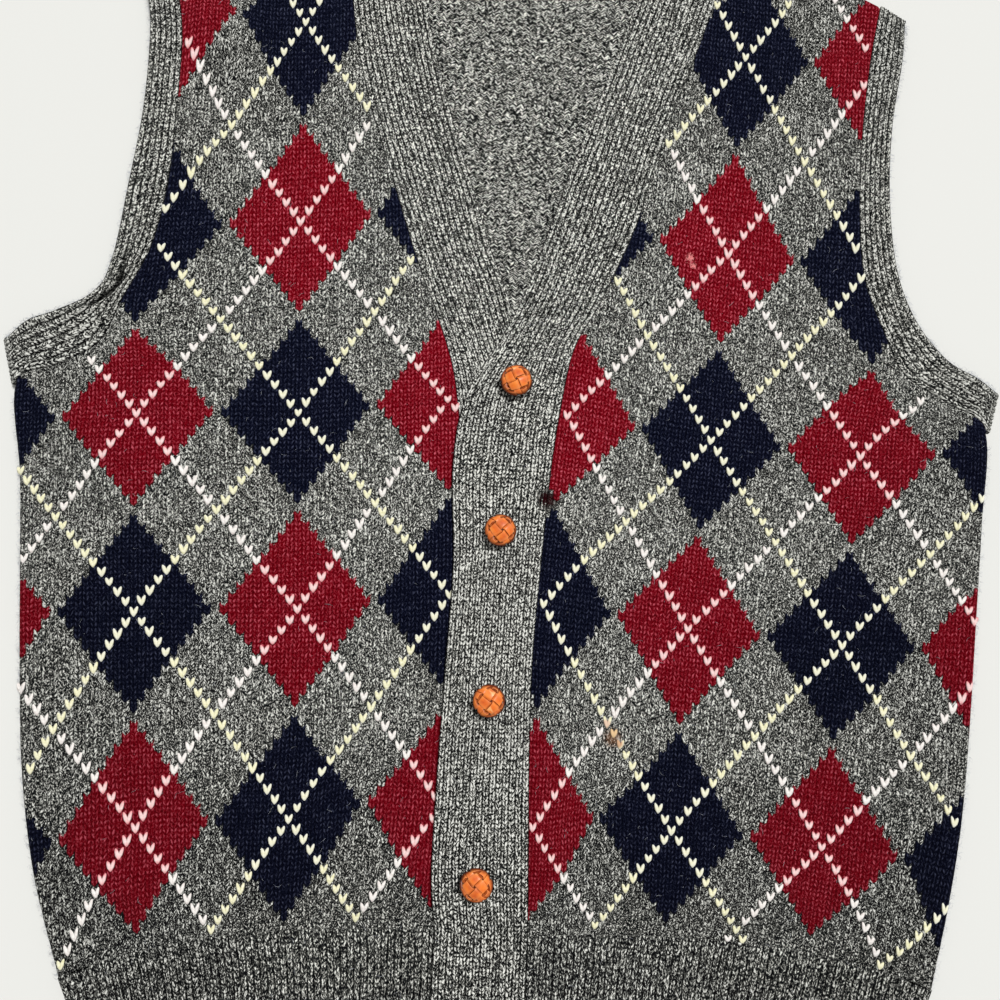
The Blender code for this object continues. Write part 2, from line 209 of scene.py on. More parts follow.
# Where the cloth is pulled out of line: a place, how far it moves there, and how wide the pull is
pulls = table(
    "x y move_x move_y reach",
    (-170, 231, 0, 16, 30),
    (-178, 169, 0, 9, 21),
    (-190, 80, -3, -3, 24),
    (-40, 66, 1, -2, 25),
    (-100, -212, 0, -3, 20),
    (193, 71, 4, -2.5, 21),
    (216, 52, 2, -3, 15),
    (238, -6, 3, 3.5, 30),
    (-199, -240, 0, -3.4, 18),
    (119, 180, 0, 2, 14),
    (-228, -78, 0, 4.5, 30),
    (242, -67, 0, 4.5, 30),
    (224, -160, 3, 5, 30),
    (237, 29, 3, 5, 26),
    (60, -164, -3, 4, 20),
    (-54, -162, -1, 4.5, 22),
)
patternLift = 2.3
dense = np.linspace(0, shoulder, 561)


def edgeX(sections, edge, y):
    return np.interp(y, curve(sections[edge + "_y"], dense), curve(sections[edge + "_x"], dense))


def station(sections, edge, y):
    return np.interp(y, curve(sections[edge + "_y"], dense), dense)


def hemY(x, row=3):
    # the hem bows up under each front and is level under the bands
    centre = hemRows["centre_y"][row]
    y = np.full(np.shape(x), centre, float)
    for side, sections in (("right", rightSections), ("left", leftSections)):
        sideX, sideY = hemRows[side + "_x"][row], hemRows[side + "_y"][row]
        share = np.clip((x - sideX) / (sections["seam_x"][0] - sideX), 0, 1)
        bowed = sideY + (centre - sideY) * share + hemBow(share)
        y = np.where((np.asarray(x) < 0) == (side == "right"), bowed, y)
    return y


def hemBow(share):
    return cloth["hemBow"] * np.sin(math.pi * np.clip(share, 0, 1) ** 0.8)


def lapLift(at):
    start, over = cloth["lapEnd"]
    return cloth["lap"] * (1 - ease((at - start) / over))


def creaseHeight(x, y):
    height = np.zeros(np.shape(x))
    for i in range(len(creases["height"])):
        startX, startY = creases["from_x"][i], creases["from_y"][i]
        runX, runY = creases["to_x"][i] - startX, creases["to_y"][i] - startY
        length = math.hypot(runX, runY)
        along = ((x - startX) * runX + (y - startY) * runY) / length**2
        across = ((x - startX) * runY - (y - startY) * runX) / length
        fade = np.exp(-(((along - 0.5) / 0.42) ** 4))  # to nothing at the crease's two ends
        height += creases["height"][i] * fade * np.exp(-((across / creases["half_width"][i]) ** 2))
    return height


def edgeDrop(distance, radius, depth):
    # how much lower the cloth is where it rounds off to an edge
    inward = np.clip(1 - distance / radius, 0, 1)
    return depth * (1 - np.sqrt(np.maximum(0, 1 - inward**2)))


def wobble(x, y, seed):
    # slow unevenness, so that no row of stitches is ruled
    u = x / 31 + seed
    v = y / 27 - seed
    return np.sin(2.1 * u + 1.7 * np.sin(1.3 * v)) * 0.6 + np.sin(3.7 * v + 2.3 * u + 1.1) * 0.4


# ---- meshes


def addMesh(name, points, corners, starts, uv, depth, materials, materialNumber=None):
    mesh = bpy.data.meshes.new(name)
    mesh.vertices.add(len(points))
    mesh.loops.add(len(corners))
    mesh.polygons.add(len(starts))
    mesh.vertices.foreach_set("co", (points * millimetre).astype(np.float32).ravel())
    mesh.loops.foreach_set("vertex_index", corners.astype(np.int32))
    mesh.polygons.foreach_set("loop_start", starts.astype(np.int32))
    mesh.update(calc_edges=True)
    layer = mesh.uv_layers.new(name="stitches")
    layer.data.foreach_set("uv", uv.astype(np.float32).ravel())
    hollow = mesh.attributes.new("hollow", "FLOAT", "POINT")
    hollow.data.foreach_set("value", depth.astype(np.float32))
    for material in materials:
        mesh.materials.append(material)
    if materialNumber is not None:
        mesh.polygons.foreach_set("material_index", materialNumber.astype(np.int32))
    mesh.validate()
    mesh.shade_smooth()
    builder = bmesh.new()
    builder.from_mesh(mesh)
    if builder.calc_volume(signed=True) < 0:
        mesh.flip_normals()
    builder.free()
    piece = bpy.data.objects.new(name, mesh)
    bpy.context.scene.collection.objects.link(piece)
    return piece


def loft(name, outer, inner, outerUv, innerUv, hollow, materials, ring=False):
    # A closed wall through rows of outer points and rows of inner points. Points that fall on
    # each other become one, so a row may end before the grid does.
    points = np.concatenate([outer, inner[:, ::-1]], axis=1)
    uv = np.concatenate([outerUv, innerUv[:, ::-1]], axis=1)
    depth = np.concatenate([hollow, np.full(inner.shape[:2], 0.5)], axis=1)
    rows, count = points.shape[:2]
    columns = outer.shape[1]
    _, first, number = np.unique(
        np.round(points.reshape(-1, 3), 3), axis=0, return_index=True, return_inverse=True
    )
    number = number.reshape(rows, count)
    i, j = np.meshgrid(np.arange(rows if ring else rows - 1), np.arange(count), indexing="ij")
    below, above, left, right = i.ravel(), (i.ravel() + 1) % rows, j.ravel(), (j.ravel() + 1) % count
    corners = [(below, left), (below, right), (above, right), (above, left)]
    quads = np.stack([number[a, b] for a, b in corners], axis=1)
    quadUv = np.stack([uv[a, b] for a, b in corners], axis=1)
    kept = quads != np.roll(quads, 1, axis=1)
    whole = (kept.sum(axis=1) >= 3) & (quads[:, 0] != quads[:, 2]) & (quads[:, 1] != quads[:, 3])
    quads, quadUv, kept = quads[whole], quadUv[whole], kept[whole]
    cornerList, uvList = quads[kept], quadUv[kept]
    sizes = kept.sum(axis=1)
    onInside = (left >= columns - 1)[whole]
    if not ring:
        capCorners, capUv, capSizes = [], [], []
        for row in (0, rows - 1):
            for face in capFaces(points[row], columns):
                if row:
                    face = face[::-1]
                seen = [k for n, k in enumerate(face) if number[row, k] != number[row, face[n - 1]]]
                if len(seen) < 3:
                    continue
                capCorners += [number[row, k] for k in seen[::-1]]
                capUv += [uv[row, k] for k in seen[::-1]]
                capSizes.append(len(seen))
        if capSizes:
            cornerList = np.concatenate([cornerList, capCorners])
            uvList = np.concatenate([uvList, capUv])
            sizes = np.concatenate([sizes, capSizes])
            onInside = np.concatenate([onInside, np.zeros(len(capSizes), bool)])
    starts = np.concatenate([[0], np.cumsum(sizes)[:-1]])
    made = points.reshape(-1, 3)[first]
    inward = onInside if len(materials) > 1 else None
    return addMesh(name, made, cornerList, starts, uvList, depth.reshape(-1)[first], materials, inward)


def capFaces(loop, columns):
    # a row's end wall, as one face for each stretch between two inner points
    inner = list(range(len(loop) - 1, columns - 1, -1))
    at = [int(np.argmin(np.linalg.norm(loop[:columns, :2] - loop[k, :2], axis=1))) for k in inner]
    at[0], at[-1] = 0, columns - 1
    return [[*range(at[k], at[k + 1] + 1), inner[k + 1], inner[k]] for k in range(len(inner) - 1)]


def tubeFaces(rings, sides):
    # the faces of a tube through rings of points, and its two ends
    faces = []
    for k in range(0, sides * (rings - 1), sides):
        for a in range(sides):
            b = (a + 1) % sides
            faces.append((k + a, k + b, k + sides + b, k + sides + a))
    return [*faces, tuple(range(sides - 1, -1, -1)), tuple(range(sides * (rings - 1), sides * rings))]


def addTubes(name, points, rings, sides, depth, material):
    # many tubes of one form as one piece
    faces = tubeFaces(rings, sides)
    count = len(points) // (rings * sides)
    corners = np.concatenate(faces)[None, :] + rings * sides * np.arange(count)[:, None]
    sizes = np.tile([len(face) for face in faces], count)
    starts = np.concatenate([[0], np.cumsum(sizes)[:-1]])
    return addMesh(name, points, corners.ravel(), starts, np.zeros((corners.size, 2)), depth, [material])


# ---- wool


class Wire:
    # a number in a node tree, so that what the shader works out can be written as a formula
    def __init__(self, tree, socket):
        self.tree, self.socket = tree, socket

    def do(self, operation, *others):
        return Wire(self.tree, node(self.tree, "Math", self, *others, operation=operation).outputs[0])

    def __add__(self, other):
        return self.do("ADD", other)

    def __sub__(self, other):
        return self.do("SUBTRACT", other)

    def __rsub__(self, other):
        return self.do("MULTIPLY", -1.0).do("ADD", other)

    def __mul__(self, other):
        return self.do("MULTIPLY", other)

    def __truediv__(self, other):
        return self.do("DIVIDE", other)


def plug(tree, socket, value):
    if isinstance(value, Wire):
        value = value.socket
    if isinstance(value, bpy.types.NodeSocket):
        tree.links.new(value, socket)
    else:
        socket.default_value = value


def node(tree, kind, *values, inputs=None, **settings):
    made = tree.nodes.new("ShaderNode" + kind)
    for key, value in settings.items():
        setattr(made, key, value)
    for socket, value in zip(made.inputs, values):
        plug(tree, socket, value)
    for key, value in (inputs or {}).items():
        plug(tree, made.inputs[key], value)
    return made


def mix(tree, amount, a, b, blend="MIX"):
    made = node(tree, "Mix", data_type="RGBA", blend_type=blend)
    for name, value in (("Factor_Float", amount), ("A_Color", a), ("B_Color", b)):
        socket = next(s for s in made.inputs if s.identifier == name)
        plug(tree, socket, (*value, 1) if isinstance(value, tuple) else value)
    return next(s for s in made.outputs if s.identifier == "Result_Color")


def ramp(tree, amount, *stops):
    made = node(tree, "ValToRGB", amount)
    elements = made.color_ramp.elements
    while len(elements) < len(stops):
        elements.new(0.5)
    for element, (place, colour) in zip(elements, stops):
        element.position = place
        element.color = (*colour, 1)
    return made.outputs[0]


def noise(tree, where, dimensions="3D", **inputs):
    inputs = {name.title(): value for name, value in inputs.items()}
    return node(tree, "TexNoise", where, inputs=inputs, noise_dimensions=dimensions, normalize=True)


def parted(tree, vector, kind="SeparateXYZ"):
    return [Wire(tree, socket) for socket in node(tree, kind, vector).outputs]


def onBody(tree):
    # across the body and up it, in metres
    return parted(tree, node(tree, "TexCoord").outputs["Object"])[:2]


def hollowHere(tree):
    return Wire(tree, node(tree, "Attribute", attribute_name="hollow").outputs["Fac"])


def luckAt(*place):
    # one chance number for a whole cell of the knitting
    tree = place[0].tree
    cell = node(tree, "CombineXYZ", *place).outputs[0]
    return Wire(tree, node(tree, "TexWhiteNoise", cell, noise_dimensions="3D").outputs[0])


def ranged(value, start, end, low, high, kind="SMOOTHSTEP"):
    made = node(value.tree, "MapRange", value, start, end, low, high, interpolation_type=kind)
    return Wire(value.tree, made.outputs[0])


def arch(value, power):
    # 0 at whole numbers and 1 half way between them
    off = (value.do("FRACT") * 2.0 - 1.0).do("ABSOLUTE")
    return 1.0 - off.do("POWER", power)


def startMaterial(name, finish):
    material = bpy.data.materials.new(name)
    material.use_nodes = True
    tree = material.node_tree
    for key, value in finish.items():
        tree.nodes["Principled BSDF"].inputs[key].default_value = value
    return material, tree


def finishMaterial(material, colour, height, strength, depth):
    tree = material.node_tree
    shader = tree.nodes["Principled BSDF"]
    relief = node(tree, "Bump", strength, depth * millimetre, inputs={"Height": height})
    plug(tree, shader.inputs["Normal"], relief.outputs[0])
    plug(tree, shader.inputs["Base Color"], colour)
    return material


def shade(r, g, b):
    # a screen colour, 0 to 255, as the shader's own light
    return tuple(((c / 255 + 0.055) / 1.055) ** 2.4 if c > 10 else c / 255 / 12.92 for c in (r, g, b))


yarn = {
    # where each colour of a yarn stands between its shadows (0) and its lights (1)
    "grey": (
        (0.00, shade(14, 15, 17)),
        (0.22, shade(84, 85, 82)),
        (0.46, shade(160, 160, 152)),
        (0.80, shade(248, 248, 240)),
    ),
    "red": ((0.0, shade(92, 0, 6)), (0.30, shade(132, 0, 20)), (0.95, shade(216, 96, 112))),
    "navy": ((0.0, shade(0, 1, 14)), (0.34, shade(13, 17, 36)), (0.95, shade(72, 76, 98))),
}
# the places between which a look changes, in metres up the body or away from its middle
change = {
    "stretched": (0.03, 0.10),
    # in metres up the body, where the painted shade towards the hem is full and where it ends
    "dusk": (-0.27, -0.08),
    "dyedHemShade": (-0.25, 0.14, -0.24, 0.04),  # and how much darker the painted shade makes the dyed yarn at each
    "sideShade": (0.06, 0.25, 1.05, 0.90),  # and how light the cloth is painted at each
}


def stained(tree, colour, marks, fibre):
    # ragged spots of another colour, each at its own place on the cloth
    for tint, strength, x, y, reach in marks:
        across, up = onBody(tree)
        across, up = across - x * millimetre, up - y * millimetre
        away = (across * across + up * up).do("SQRT") - fibre * (3 * reach * millimetre)
        near = ranged(away, 0.5 * reach * millimetre, reach * millimetre, strength, 0.0, "LINEAR")
        colour = mix(tree, near, colour, tint)
    return colour


def woolMaterial(name, look, argyle=False):
    material, tree = startMaterial(
        name, {"Roughness": 0.92, "Specular IOR Level": 0.02, "Sheen Weight": 0.012, "Sheen Roughness": 0.6}
    )
    uv = node(tree, "UVMap", uv_map="stitches").outputs[0]
    wale, row, _ = parted(tree, uv)
    acrossBody, upBody = onBody(tree)
    legPlace = wale * 2.0
    leg = legPlace.do("FLOOR")

    # each leg of a stitch is a short stroke, lit by painted light along its top with painted shade in the
    # gaps round it, no two quite the same grey
    chance = luckAt(leg, row.do("FLOOR"), 0.0)
    tone = chance * look["chance"] + (look["tone"] - look["chance"] / 2)
    # the strokes lean and crowd a little, so that the rows are never ruled
    crowd = noise(tree, uv, "2D", scale=1.9, detail=1.0)
    pushX, pushY, _ = parted(tree, crowd.outputs[1], "SeparateColor")
    sideways, upward = look["crowding"]
    legPushed = legPlace + (pushX * 2.0 - 1.0) * sideways
    rowPushed = row + (pushY * 2.0 - 1.0) * upward
    # and the painted shade in the valley between two wales is deeper at some stitches than at others
    luck = luckAt(wale.do("ROUND"), (row * 0.7).do("FLOOR"), 5.0)
    uneven = (luck * (2 * look["broken"]) + (1.0 - look["broken"])).do("MINIMUM", 1.0)
    acrossLeg = arch(legPushed, look["peak"])
    # the gap between two wales is a thin line of painted shade; where a band is stretched, up the V, it
    # opens and the two legs of a rib close up
    line = look["line"]
    low, high = look["closed"]
    if high:
        closed = ranged(upBody, *change["stretched"], low, high)
        acrossLeg = acrossLeg + closed * (arch(legPushed * 0.5, 2.4) - acrossLeg)
        line = closed * (1.0 - line) + line
        tone = tone - closed * 0.3
    acrossLeg = acrossLeg * look["across"] + (1.0 - look["across"])
    lineDark = (1.0 - arch(wale, look["lineWidth"])) * line * uneven
    # painted light: each leg is lightest along its top, in the middle of its row
    crest = acrossLeg * arch(rowPushed, 2.0)

    # fleck: the yarn is spun of black and white fibre, in strokes along the leg
    toWale, toRow = look["strokes"]
    strand = node(tree, "CombineXYZ", wale * toWale + leg * 3.71, row * toRow, chance * 0.6).outputs[0]
    fleck = noise(tree, strand, scale=1.0, detail=look["detail"], roughness=0.65)
    fibre = Wire(tree, fleck.outputs[0]) - 0.5
    # painted shade: the cloth darkens slowly towards the hem, where less light falls on it
    dusk = ranged(upBody, *change["dusk"], look["dusk"], 0.0)
    amount = fibre * look["fleck"] + crest * tone + look["base"] - dusk
    colour = ramp(tree, amount, *yarn["grey"])
    # painted shade: the knitting is darker in its hollows
    dark = 1.0 - hollowHere(tree) * uneven * look["groove"]

    if argyle:
        # the colours change between stitches, but loose fibres cross over
        walePlace = (fibre * 0.7 + wale + 0.5).do("FLOOR")
        rowPlace = (fibre * 1.4 + row).do("FLOOR") + 0.5
        column = (walePlace / diamondWales).do("ROUND")
        level = (rowPlace / diamondRows).do("ROUND")
        across = (walePlace - column * diamondWales).do("ABSOLUTE")
        up = (rowPlace - level * diamondRows).do("ABSOLUTE")
        # no diamond starts below the lowest row of them
        reach = across / halfWales + up / halfRows + level.do("LESS_THAN", -0.5)
        inDiamond = reach.do("LESS_THAN", 1.0)
        navyHere = (column + level).do("FLOORED_MODULO", 2.0).do("GREATER_THAN", 0.5)
        # dyed yarn is plain: only the top of each leg catches the light
        legNear = legPlace + (pushX - 0.5) * 0.5
        rowNear = row + (pushY - 0.5) * 0.5
        dot = (arch(legNear, 1.5) * arch(rowNear, 1.5)).do("POWER", 2.2) * (chance * 0.55 + 0.2)
        dyed = fibre * 1.5 + dot + 0.20
        inYarn = mix(tree, navyHere, ramp(tree, dyed, *yarn["red"]), ramp(tree, dyed, *yarn["navy"]))
        colour = mix(tree, inDiamond, colour, inYarn)
        lineDark = lineDark * (1.0 - inDiamond * 0.6)
        # painted light and shade: the diamonds lighten up the body and darken towards the hem
        dark = dark * (inDiamond * ranged(upBody, *change["dyedHemShade"]) + 1.0)

    colour = stained(tree, colour, look["marks"], fibre)
    # painted shade: the cloth is darker at its sides too, where less light falls on it, and a little
    # lighter in its middle
    sideShade = ranged(acrossBody.do("ABSOLUTE"), *change["sideShade"])
    dark = (dark * (1.0 - lineDark) * sideShade).do("MAXIMUM", 0.08)
    dark = node(tree, "CombineColor", dark, dark, dark).outputs[0]
    return finishMaterial(material, mix(tree, 1.0, colour, dark, "MULTIPLY"), amount, 0.35, 0.4)


plainLook = {
    "base": -0.03,
    "tone": 0.40,
    "chance": 0.8,  # how much the legs differ
    "peak": 2.0,  # how soon a leg falls away to its sides; less is sharper
    "crowding": (0.5, 0.7),  # how far a leg strays sideways, in legs, and up, in rows
    "strokes": (7.0, 3.4),  # flecks to a wale and to a row
    "fleck": 4.6,
    "detail": 1.0,
    "groove": 0.5,
    "line": 0.30,
    "lineWidth": 3.0,
    "broken": 0.5,
    "across": 1.0,
    "closed": (0.0, 0.0),  # how far the two legs of a wale lie together, at the buttons and up the V
    # how much painted shade falls on the cloth towards the hem
    "dusk": 0.18,
    "marks": (),
}
frontLook = plainLook | {
    "marks": (
        (shade(168, 120, 84), 0.5, 65.5, -124.0, 4.4),
        (shade(44, 4, 8), 0.95, 28.6, -7.6, 4.2),
        (shade(250, 150, 150), 0.9, 96.5, 123.5, 2.2),
        (shade(250, 150, 150), 0.9, 98.5, 119.5, 1.6),
    ),
}
ribLook = plainLook | {
    "base": -0.05,
    "tone": 0.88,
    "chance": 1.0,
    "peak": 1.3,
    "crowding": (0.2, 0.6),
    "strokes": (5.5, 2.6),
    "fleck": 3.2,
    "detail": 0.5,
    "line": 0.7,
    "lineWidth": 2.6,
    "broken": 0.65,
    "closed": (0.0, 0.6),
    "dusk": 0.11,
    "marks": ((shade(40, 2, 6), 1.0, 27.6, -7.4, 4.4),),
}
hemLook = plainLook | {
    "base": -0.19,
    "tone": 0.74,
    "chance": 0.7,
    "peak": 1.3,
    "crowding": (0.25, 1.0),
    "strokes": (6.0, 2.0),
    "fleck": 3.3,
    "line": 0.6,
    "lineWidth": 2.2,
    "broken": 0.8,
    "closed": (0.3, 0.3),
    "groove": 0.3,
    "dusk": 0.0,
}
insideLook = plainLook | {
    "chance": 0.25,
    "crowding": (0.3, 0.3),
    "strokes": (2.0, 5.2),
    "fleck": 3.4,
    "detail": 0.0,
    "groove": 0.35,
    "line": 0.0,
    "across": 0.25,
    "dusk": 0.0,
    "tone": 0.34,
    "base": -0.05,
}
argyleWool = woolMaterial("argyle_wool", frontLook, argyle=True)
ribWool = woolMaterial("rib_wool", ribLook)
hemWool = woolMaterial("hem_wool", hemLook)
insideWool = woolMaterial("inside_wool", insideLook)
backWool = woolMaterial("back_wool", plainLook)
print("wool ready")


# ---- the argyle fronts

stitch = {
    "rise": 0.7,  # rows that a leg climbs from the middle of its wale to the side
    "betweenWales": 0.50,
    "betweenLegs": 0.30,
    "betweenRows": 0.22,
    "rows": (-34, 200),  # below the hem seam and past the shoulder everywhere
    "snap": 0.15,  # how near its end, in wales, a row is carried on to it
    "unevenness": 0.35,
    "thinnest": 0.25,  # in the gaps of the knitting
    "narrowest": 0.6,  # row, in wales
}
fronts = {
    "right": {"sections": rightSections, "diamonds": rightDiamonds, "wales": (-18, 43), "column": 1,
              "low": "side", "high": "seam"},
    "left": {"sections": leftSections, "diamonds": leftDiamonds, "wales": (-2, 58), "column": 0,
             "low": "seam", "high": "side"},
}


def place(front, wale, row):
    # where a point of the knitting lies on the cloth
    across, up = (wale / diamondWales + front["column"]).ravel(), (row / diamondRows + 1).ravel()
    x, y = (
        curve(np.array([curve(front["diamonds"][f"{axis}{k}"], up) for k in range(4)]), across)
        for axis in "xy"
    )
    x, y = x.reshape(wale.shape), y.reshape(wale.shape) + patternLift
    moveX, moveY = np.zeros_like(x), np.zeros_like(y)
    for pullX, pullY, pullMoveX, pullMoveY, reach in zip(*pulls.values()):
        near = np.exp(-((x - pullX) ** 2 + (y - pullY) ** 2) / reach**2)
        moveX += pullMoveX * near
        moveY += pullMoveY * near
    return x + moveX, y + moveY


def findHemRows(front):
    # the row, and part of a row, at which each wale meets the hem seam
    wales = np.arange(front["wales"][0] - 2, front["wales"][1] + 2, 0.125)
    rows = np.arange(stitch["rows"][0], 0, 0.25)
    wale, row = np.meshgrid(wales, rows)
    x, y = place(front, wale, row)
    above = y - hemY(x) - cloth["seam"] / 2
    front["hemWales"] = wales
    front["hemRows"] = np.array([np.interp(0, above[:, k], rows) for k in range(len(wales))])


def settle(front, wale, row):
    # nothing lies below the hem seam
    lowest = np.interp(wale, front["hemWales"], front["hemRows"])
    row = np.maximum(row, lowest)
    x, y = place(front, wale, row)
    free = ease((row - lowest) / 4)
    x = x + stitch["unevenness"] * wobble(x, y, 0.3) * free
    y = y + stitch["unevenness"] * wobble(y, x, 1.9) * free
    return x, y


def shoulderY(front, x):
    s = front["sections"]
    ends = sorted((s[edge + "_x"][-1], s[edge + "_y"][-1]) for edge in ("side", "seam"))
    return np.interp(x, *zip(*ends))


def within(front, x, y):
    margin = cloth["seam"] / 2
    low = edgeX(front["sections"], front["low"], y) + margin
    high = edgeX(front["sections"], front["high"], y) - margin
    return (x > low) & (x < high) & (y < shoulderY(front, x) - margin)


def frontHeight(front, x, y):
    # underside and top of the cloth at a point, before its stitches
    s = front["sections"]
    away = {
        "side": np.abs(x - edgeX(s, "side", y)),
        "seam": np.abs(x - edgeX(s, "seam", y)),
        "hem": y - hemY(x),
        "shoulder": shoulderY(front, x) - y,
    }
    inside = math.prod(ease(away[edge] / reach) for edge, reach in cloth["calm"].items())
    swell = cloth["swell"] * np.sin(math.pi * np.clip(away["hem"] / cloth["swellReach"], 0, 1) ** 0.7)
    rise = (creaseHeight(x, y) + swell) * inside
    if front["low"] == "seam":
        rise = rise + lapLift(station(s, "seam", y)) * (1 - ease(away["seam"] / cloth["lapSlope"]))
    low = cloth["frontLevel"] + rise
    seam = cloth["seamRadius"], cloth["seamDip"]
    fold = edgeDrop(away["side"], cloth["foldRadius"], cloth["wall"] - cloth["thinnest"])
    folded = station(s, "side", y) <= underarm
    high = low + cloth["wall"] - np.where(folded, fold, edgeDrop(away["side"], *seam))
    high = high - edgeDrop(away["seam"], *seam) - edgeDrop(away["shoulder"], *seam)
    return low, np.maximum(high, low + cloth["thinnest"])


def rowEnds(front, rows):
    # the first and last wale of each row that lie on the front
    wales = np.arange(*front["wales"], 0.04)
    wale, row = np.meshgrid(wales, rows)
    x, y = settle(front, wale, row)
    on = within(front, x, y)
    first = wales[np.argmax(on, axis=1)]
    last = wales[len(wales) - 1 - np.argmax(on[:, ::-1], axis=1)]
    return first, last, on.any(axis=1) & (last - first > stitch["narrowest"])


def gaps(s, row, betweenWales, betweenLegs, betweenRows):
    # how deep the knitting is between its wales (s is 1), down the middle of one (s is 0), and
    # between its rows
    hollow = np.where(s > 0.9, betweenWales, np.where(s < 0.1, betweenLegs, 0.0))
    return hollow, np.where(row % 1.0 < 0.25, betweenRows, 0.0)


def knitFront(name, side):
    front = fronts[side]
    findHemRows(front)
    rows = np.arange(math.floor(front["hemRows"].min()), stitch["rows"][1], 0.5)
    first, last, there = rowEnds(front, rows)
    rows, first, last = rows[there], first[there], last[there]
    front.update(rows=rows, first=first, last=last)
    wale, row = np.meshgrid(np.arange(*front["wales"], 0.25), rows)
    start, end = first[:, None], last[:, None]
    nearEnd = wale > end - stitch["snap"]
    wale = np.where(wale < start + stitch["snap"], start, np.where(nearEnd, end, wale))
    fromEnd = np.minimum(wale - start, end - wale)
    s = np.abs(2 * ((wale + 0.5) % 1.0) - 1)
    climb = stitch["rise"] * (s - 0.5) * ease(fromEnd / 1.5) * ease((rows[-1] - row) / 2)
    x, y = settle(front, wale, row + climb)
    low, high = frontHeight(front, x, y)
    hollow, betweenRows = gaps(s, row, stitch["betweenWales"], stitch["betweenLegs"], stitch["betweenRows"])
    hollow = (hollow + betweenRows) * (fromEnd > 0.01)
    outer = grid(x, y, np.maximum(high - hollow, low + stitch["thinnest"]))
    shares = np.linspace(0, 1, 10)[None, :]
    innerWale, innerRow = np.broadcast_arrays(start + (end - start) * shares, rows[:, None])
    x, y = settle(front, innerWale, innerRow)
    inner = grid(x, y, frontHeight(front, x, y)[0])
    outer[:, 0, :2], outer[:, -1, :2] = inner[:, 0, :2], inner[:, -1, :2]
    # one more row, all at one point, closes the front at the corner between the shoulder and the neck
    cornerX, cornerY = front["sections"]["seam_x"][-1], front["sections"]["seam_y"][-1] - 0.6
    level = cloth["frontLevel"]
    tipOuter = np.broadcast_to([cornerX, cornerY, level + cloth["wall"] - 0.7], outer[:1].shape)
    tipInner = np.broadcast_to([cornerX, cornerY, level], inner[:1].shape)
    outerUv, innerUv = grid(wale, row), grid(innerWale, innerRow)
    deep = stitch["betweenWales"] + stitch["betweenRows"]
    return loft(
        name,
        np.concatenate([outer, tipOuter]),
        np.concatenate([inner, tipInner]),
        np.concatenate([outerUv, outerUv[-1:]]),
        np.concatenate([innerUv, innerUv[-1:]]),
        np.concatenate([hollow, hollow[-1:]]) / deep,
        [argyleWool],
    )


frontRight = knitFront("frontRightKnit", "right")
frontLeft = knitFront("frontLeftKnit", "left")
print("fronts knitted", len(frontRight.data.polygons), len(frontLeft.data.polygons))


# ---- the lines of single stitches across the diamonds

lineStitch = {
    "height": 1.0,  # of a stitch, in rows
    "spread": 0.45,  # of its legs, in wales
    "legWidth": 0.54,
    "legHeight": 0.8,
    "sink": 0.22,
    "below": 0.4,
    # how much stitches differ in place, lean and size
    "stray": 0.12,
    "swing": 0.03,
    "sizes": 0.06,
    "margin": 0.25,  # how far inside its row, in wales, a stitch has to lie
    "size": {"cream": 0.95, "white": 1.0},
    # how much of its tint a leg shows: in its middle, more at its ends, and off the diamonds
    "tinted": (0.25, 0.7, 0.06),
    "tintedTo": 0.93,  # of the way from a diamond's middle to its corners
}


def plainMaterial(name, pale, deep, tint, sheen=0.25, marks=()):
    material, tree = startMaterial(
        name, {"Roughness": 0.9, "Specular IOR Level": 0.15, "Sheen Weight": sheen}
    )
    grain = noise(tree, node(tree, "TexCoord").outputs["Object"], scale=900.0, detail=3.0).outputs[0]
    colour = mix(tree, hollowHere(tree), ramp(tree, grain, (0.30, deep), (0.62, pale)), tint)
    return finishMaterial(material, stained(tree, colour, marks, 0.0), grain, 0.4, 0.3)


creamYarn = plainMaterial(
    "cream_yarn",
    shade(254, 250, 220),
    shade(230, 226, 174),
    shade(238, 238, 226),
    marks=(
        (shade(234, 200, 176), 0.9, 62.0, -117.5, 3.0),
        (shade(232, 194, 146), 0.95, 66.0, -121.8, 5.0),
        (shade(212, 168, 132), 0.95, 68.4, -126.4, 3.0),
    ),
)
# the white yarn's tint is a painted pink, red light bleeding in from the diamonds
whiteYarn = plainMaterial("white_yarn", shade(255, 253, 247), shade(232, 224, 218), shade(248, 140, 146))


def legShape():
    # one leg of a stitch in its own place: a tapered tube of six sides
    turn = np.arange(6) * math.pi / 3
    stations = ((0.0, 0.22), (0.18, 0.62), (0.42, 1.0), (0.72, 0.86), (0.9, 0.6), (1.0, 0.22))
    return np.array([(t, width * math.cos(a), width * math.sin(a)) for t, width in stations for a in turn])


def lineSeats(front, colour):
    # the lines climb two rows a wale, both ways
    seats = set()
    for line in range(-3 if colour == "cream" else -4, 8, 2):
        for wale in range(*front["wales"]):
            for row in (2 * wale + diamondRows * line, -2 * wale + diamondRows * line):
                lowest = np.interp(wale, front["hemWales"], front["hemRows"])
                start, end = (np.interp(row, front["rows"], front[k]) for k in ("first", "last"))
                inside = start + lineStitch["margin"] < wale < end - lineStitch["margin"]
                if inside and lowest + 1 < row < front["rows"][-1] - 1:
                    seats.add((wale, row))
    return seats


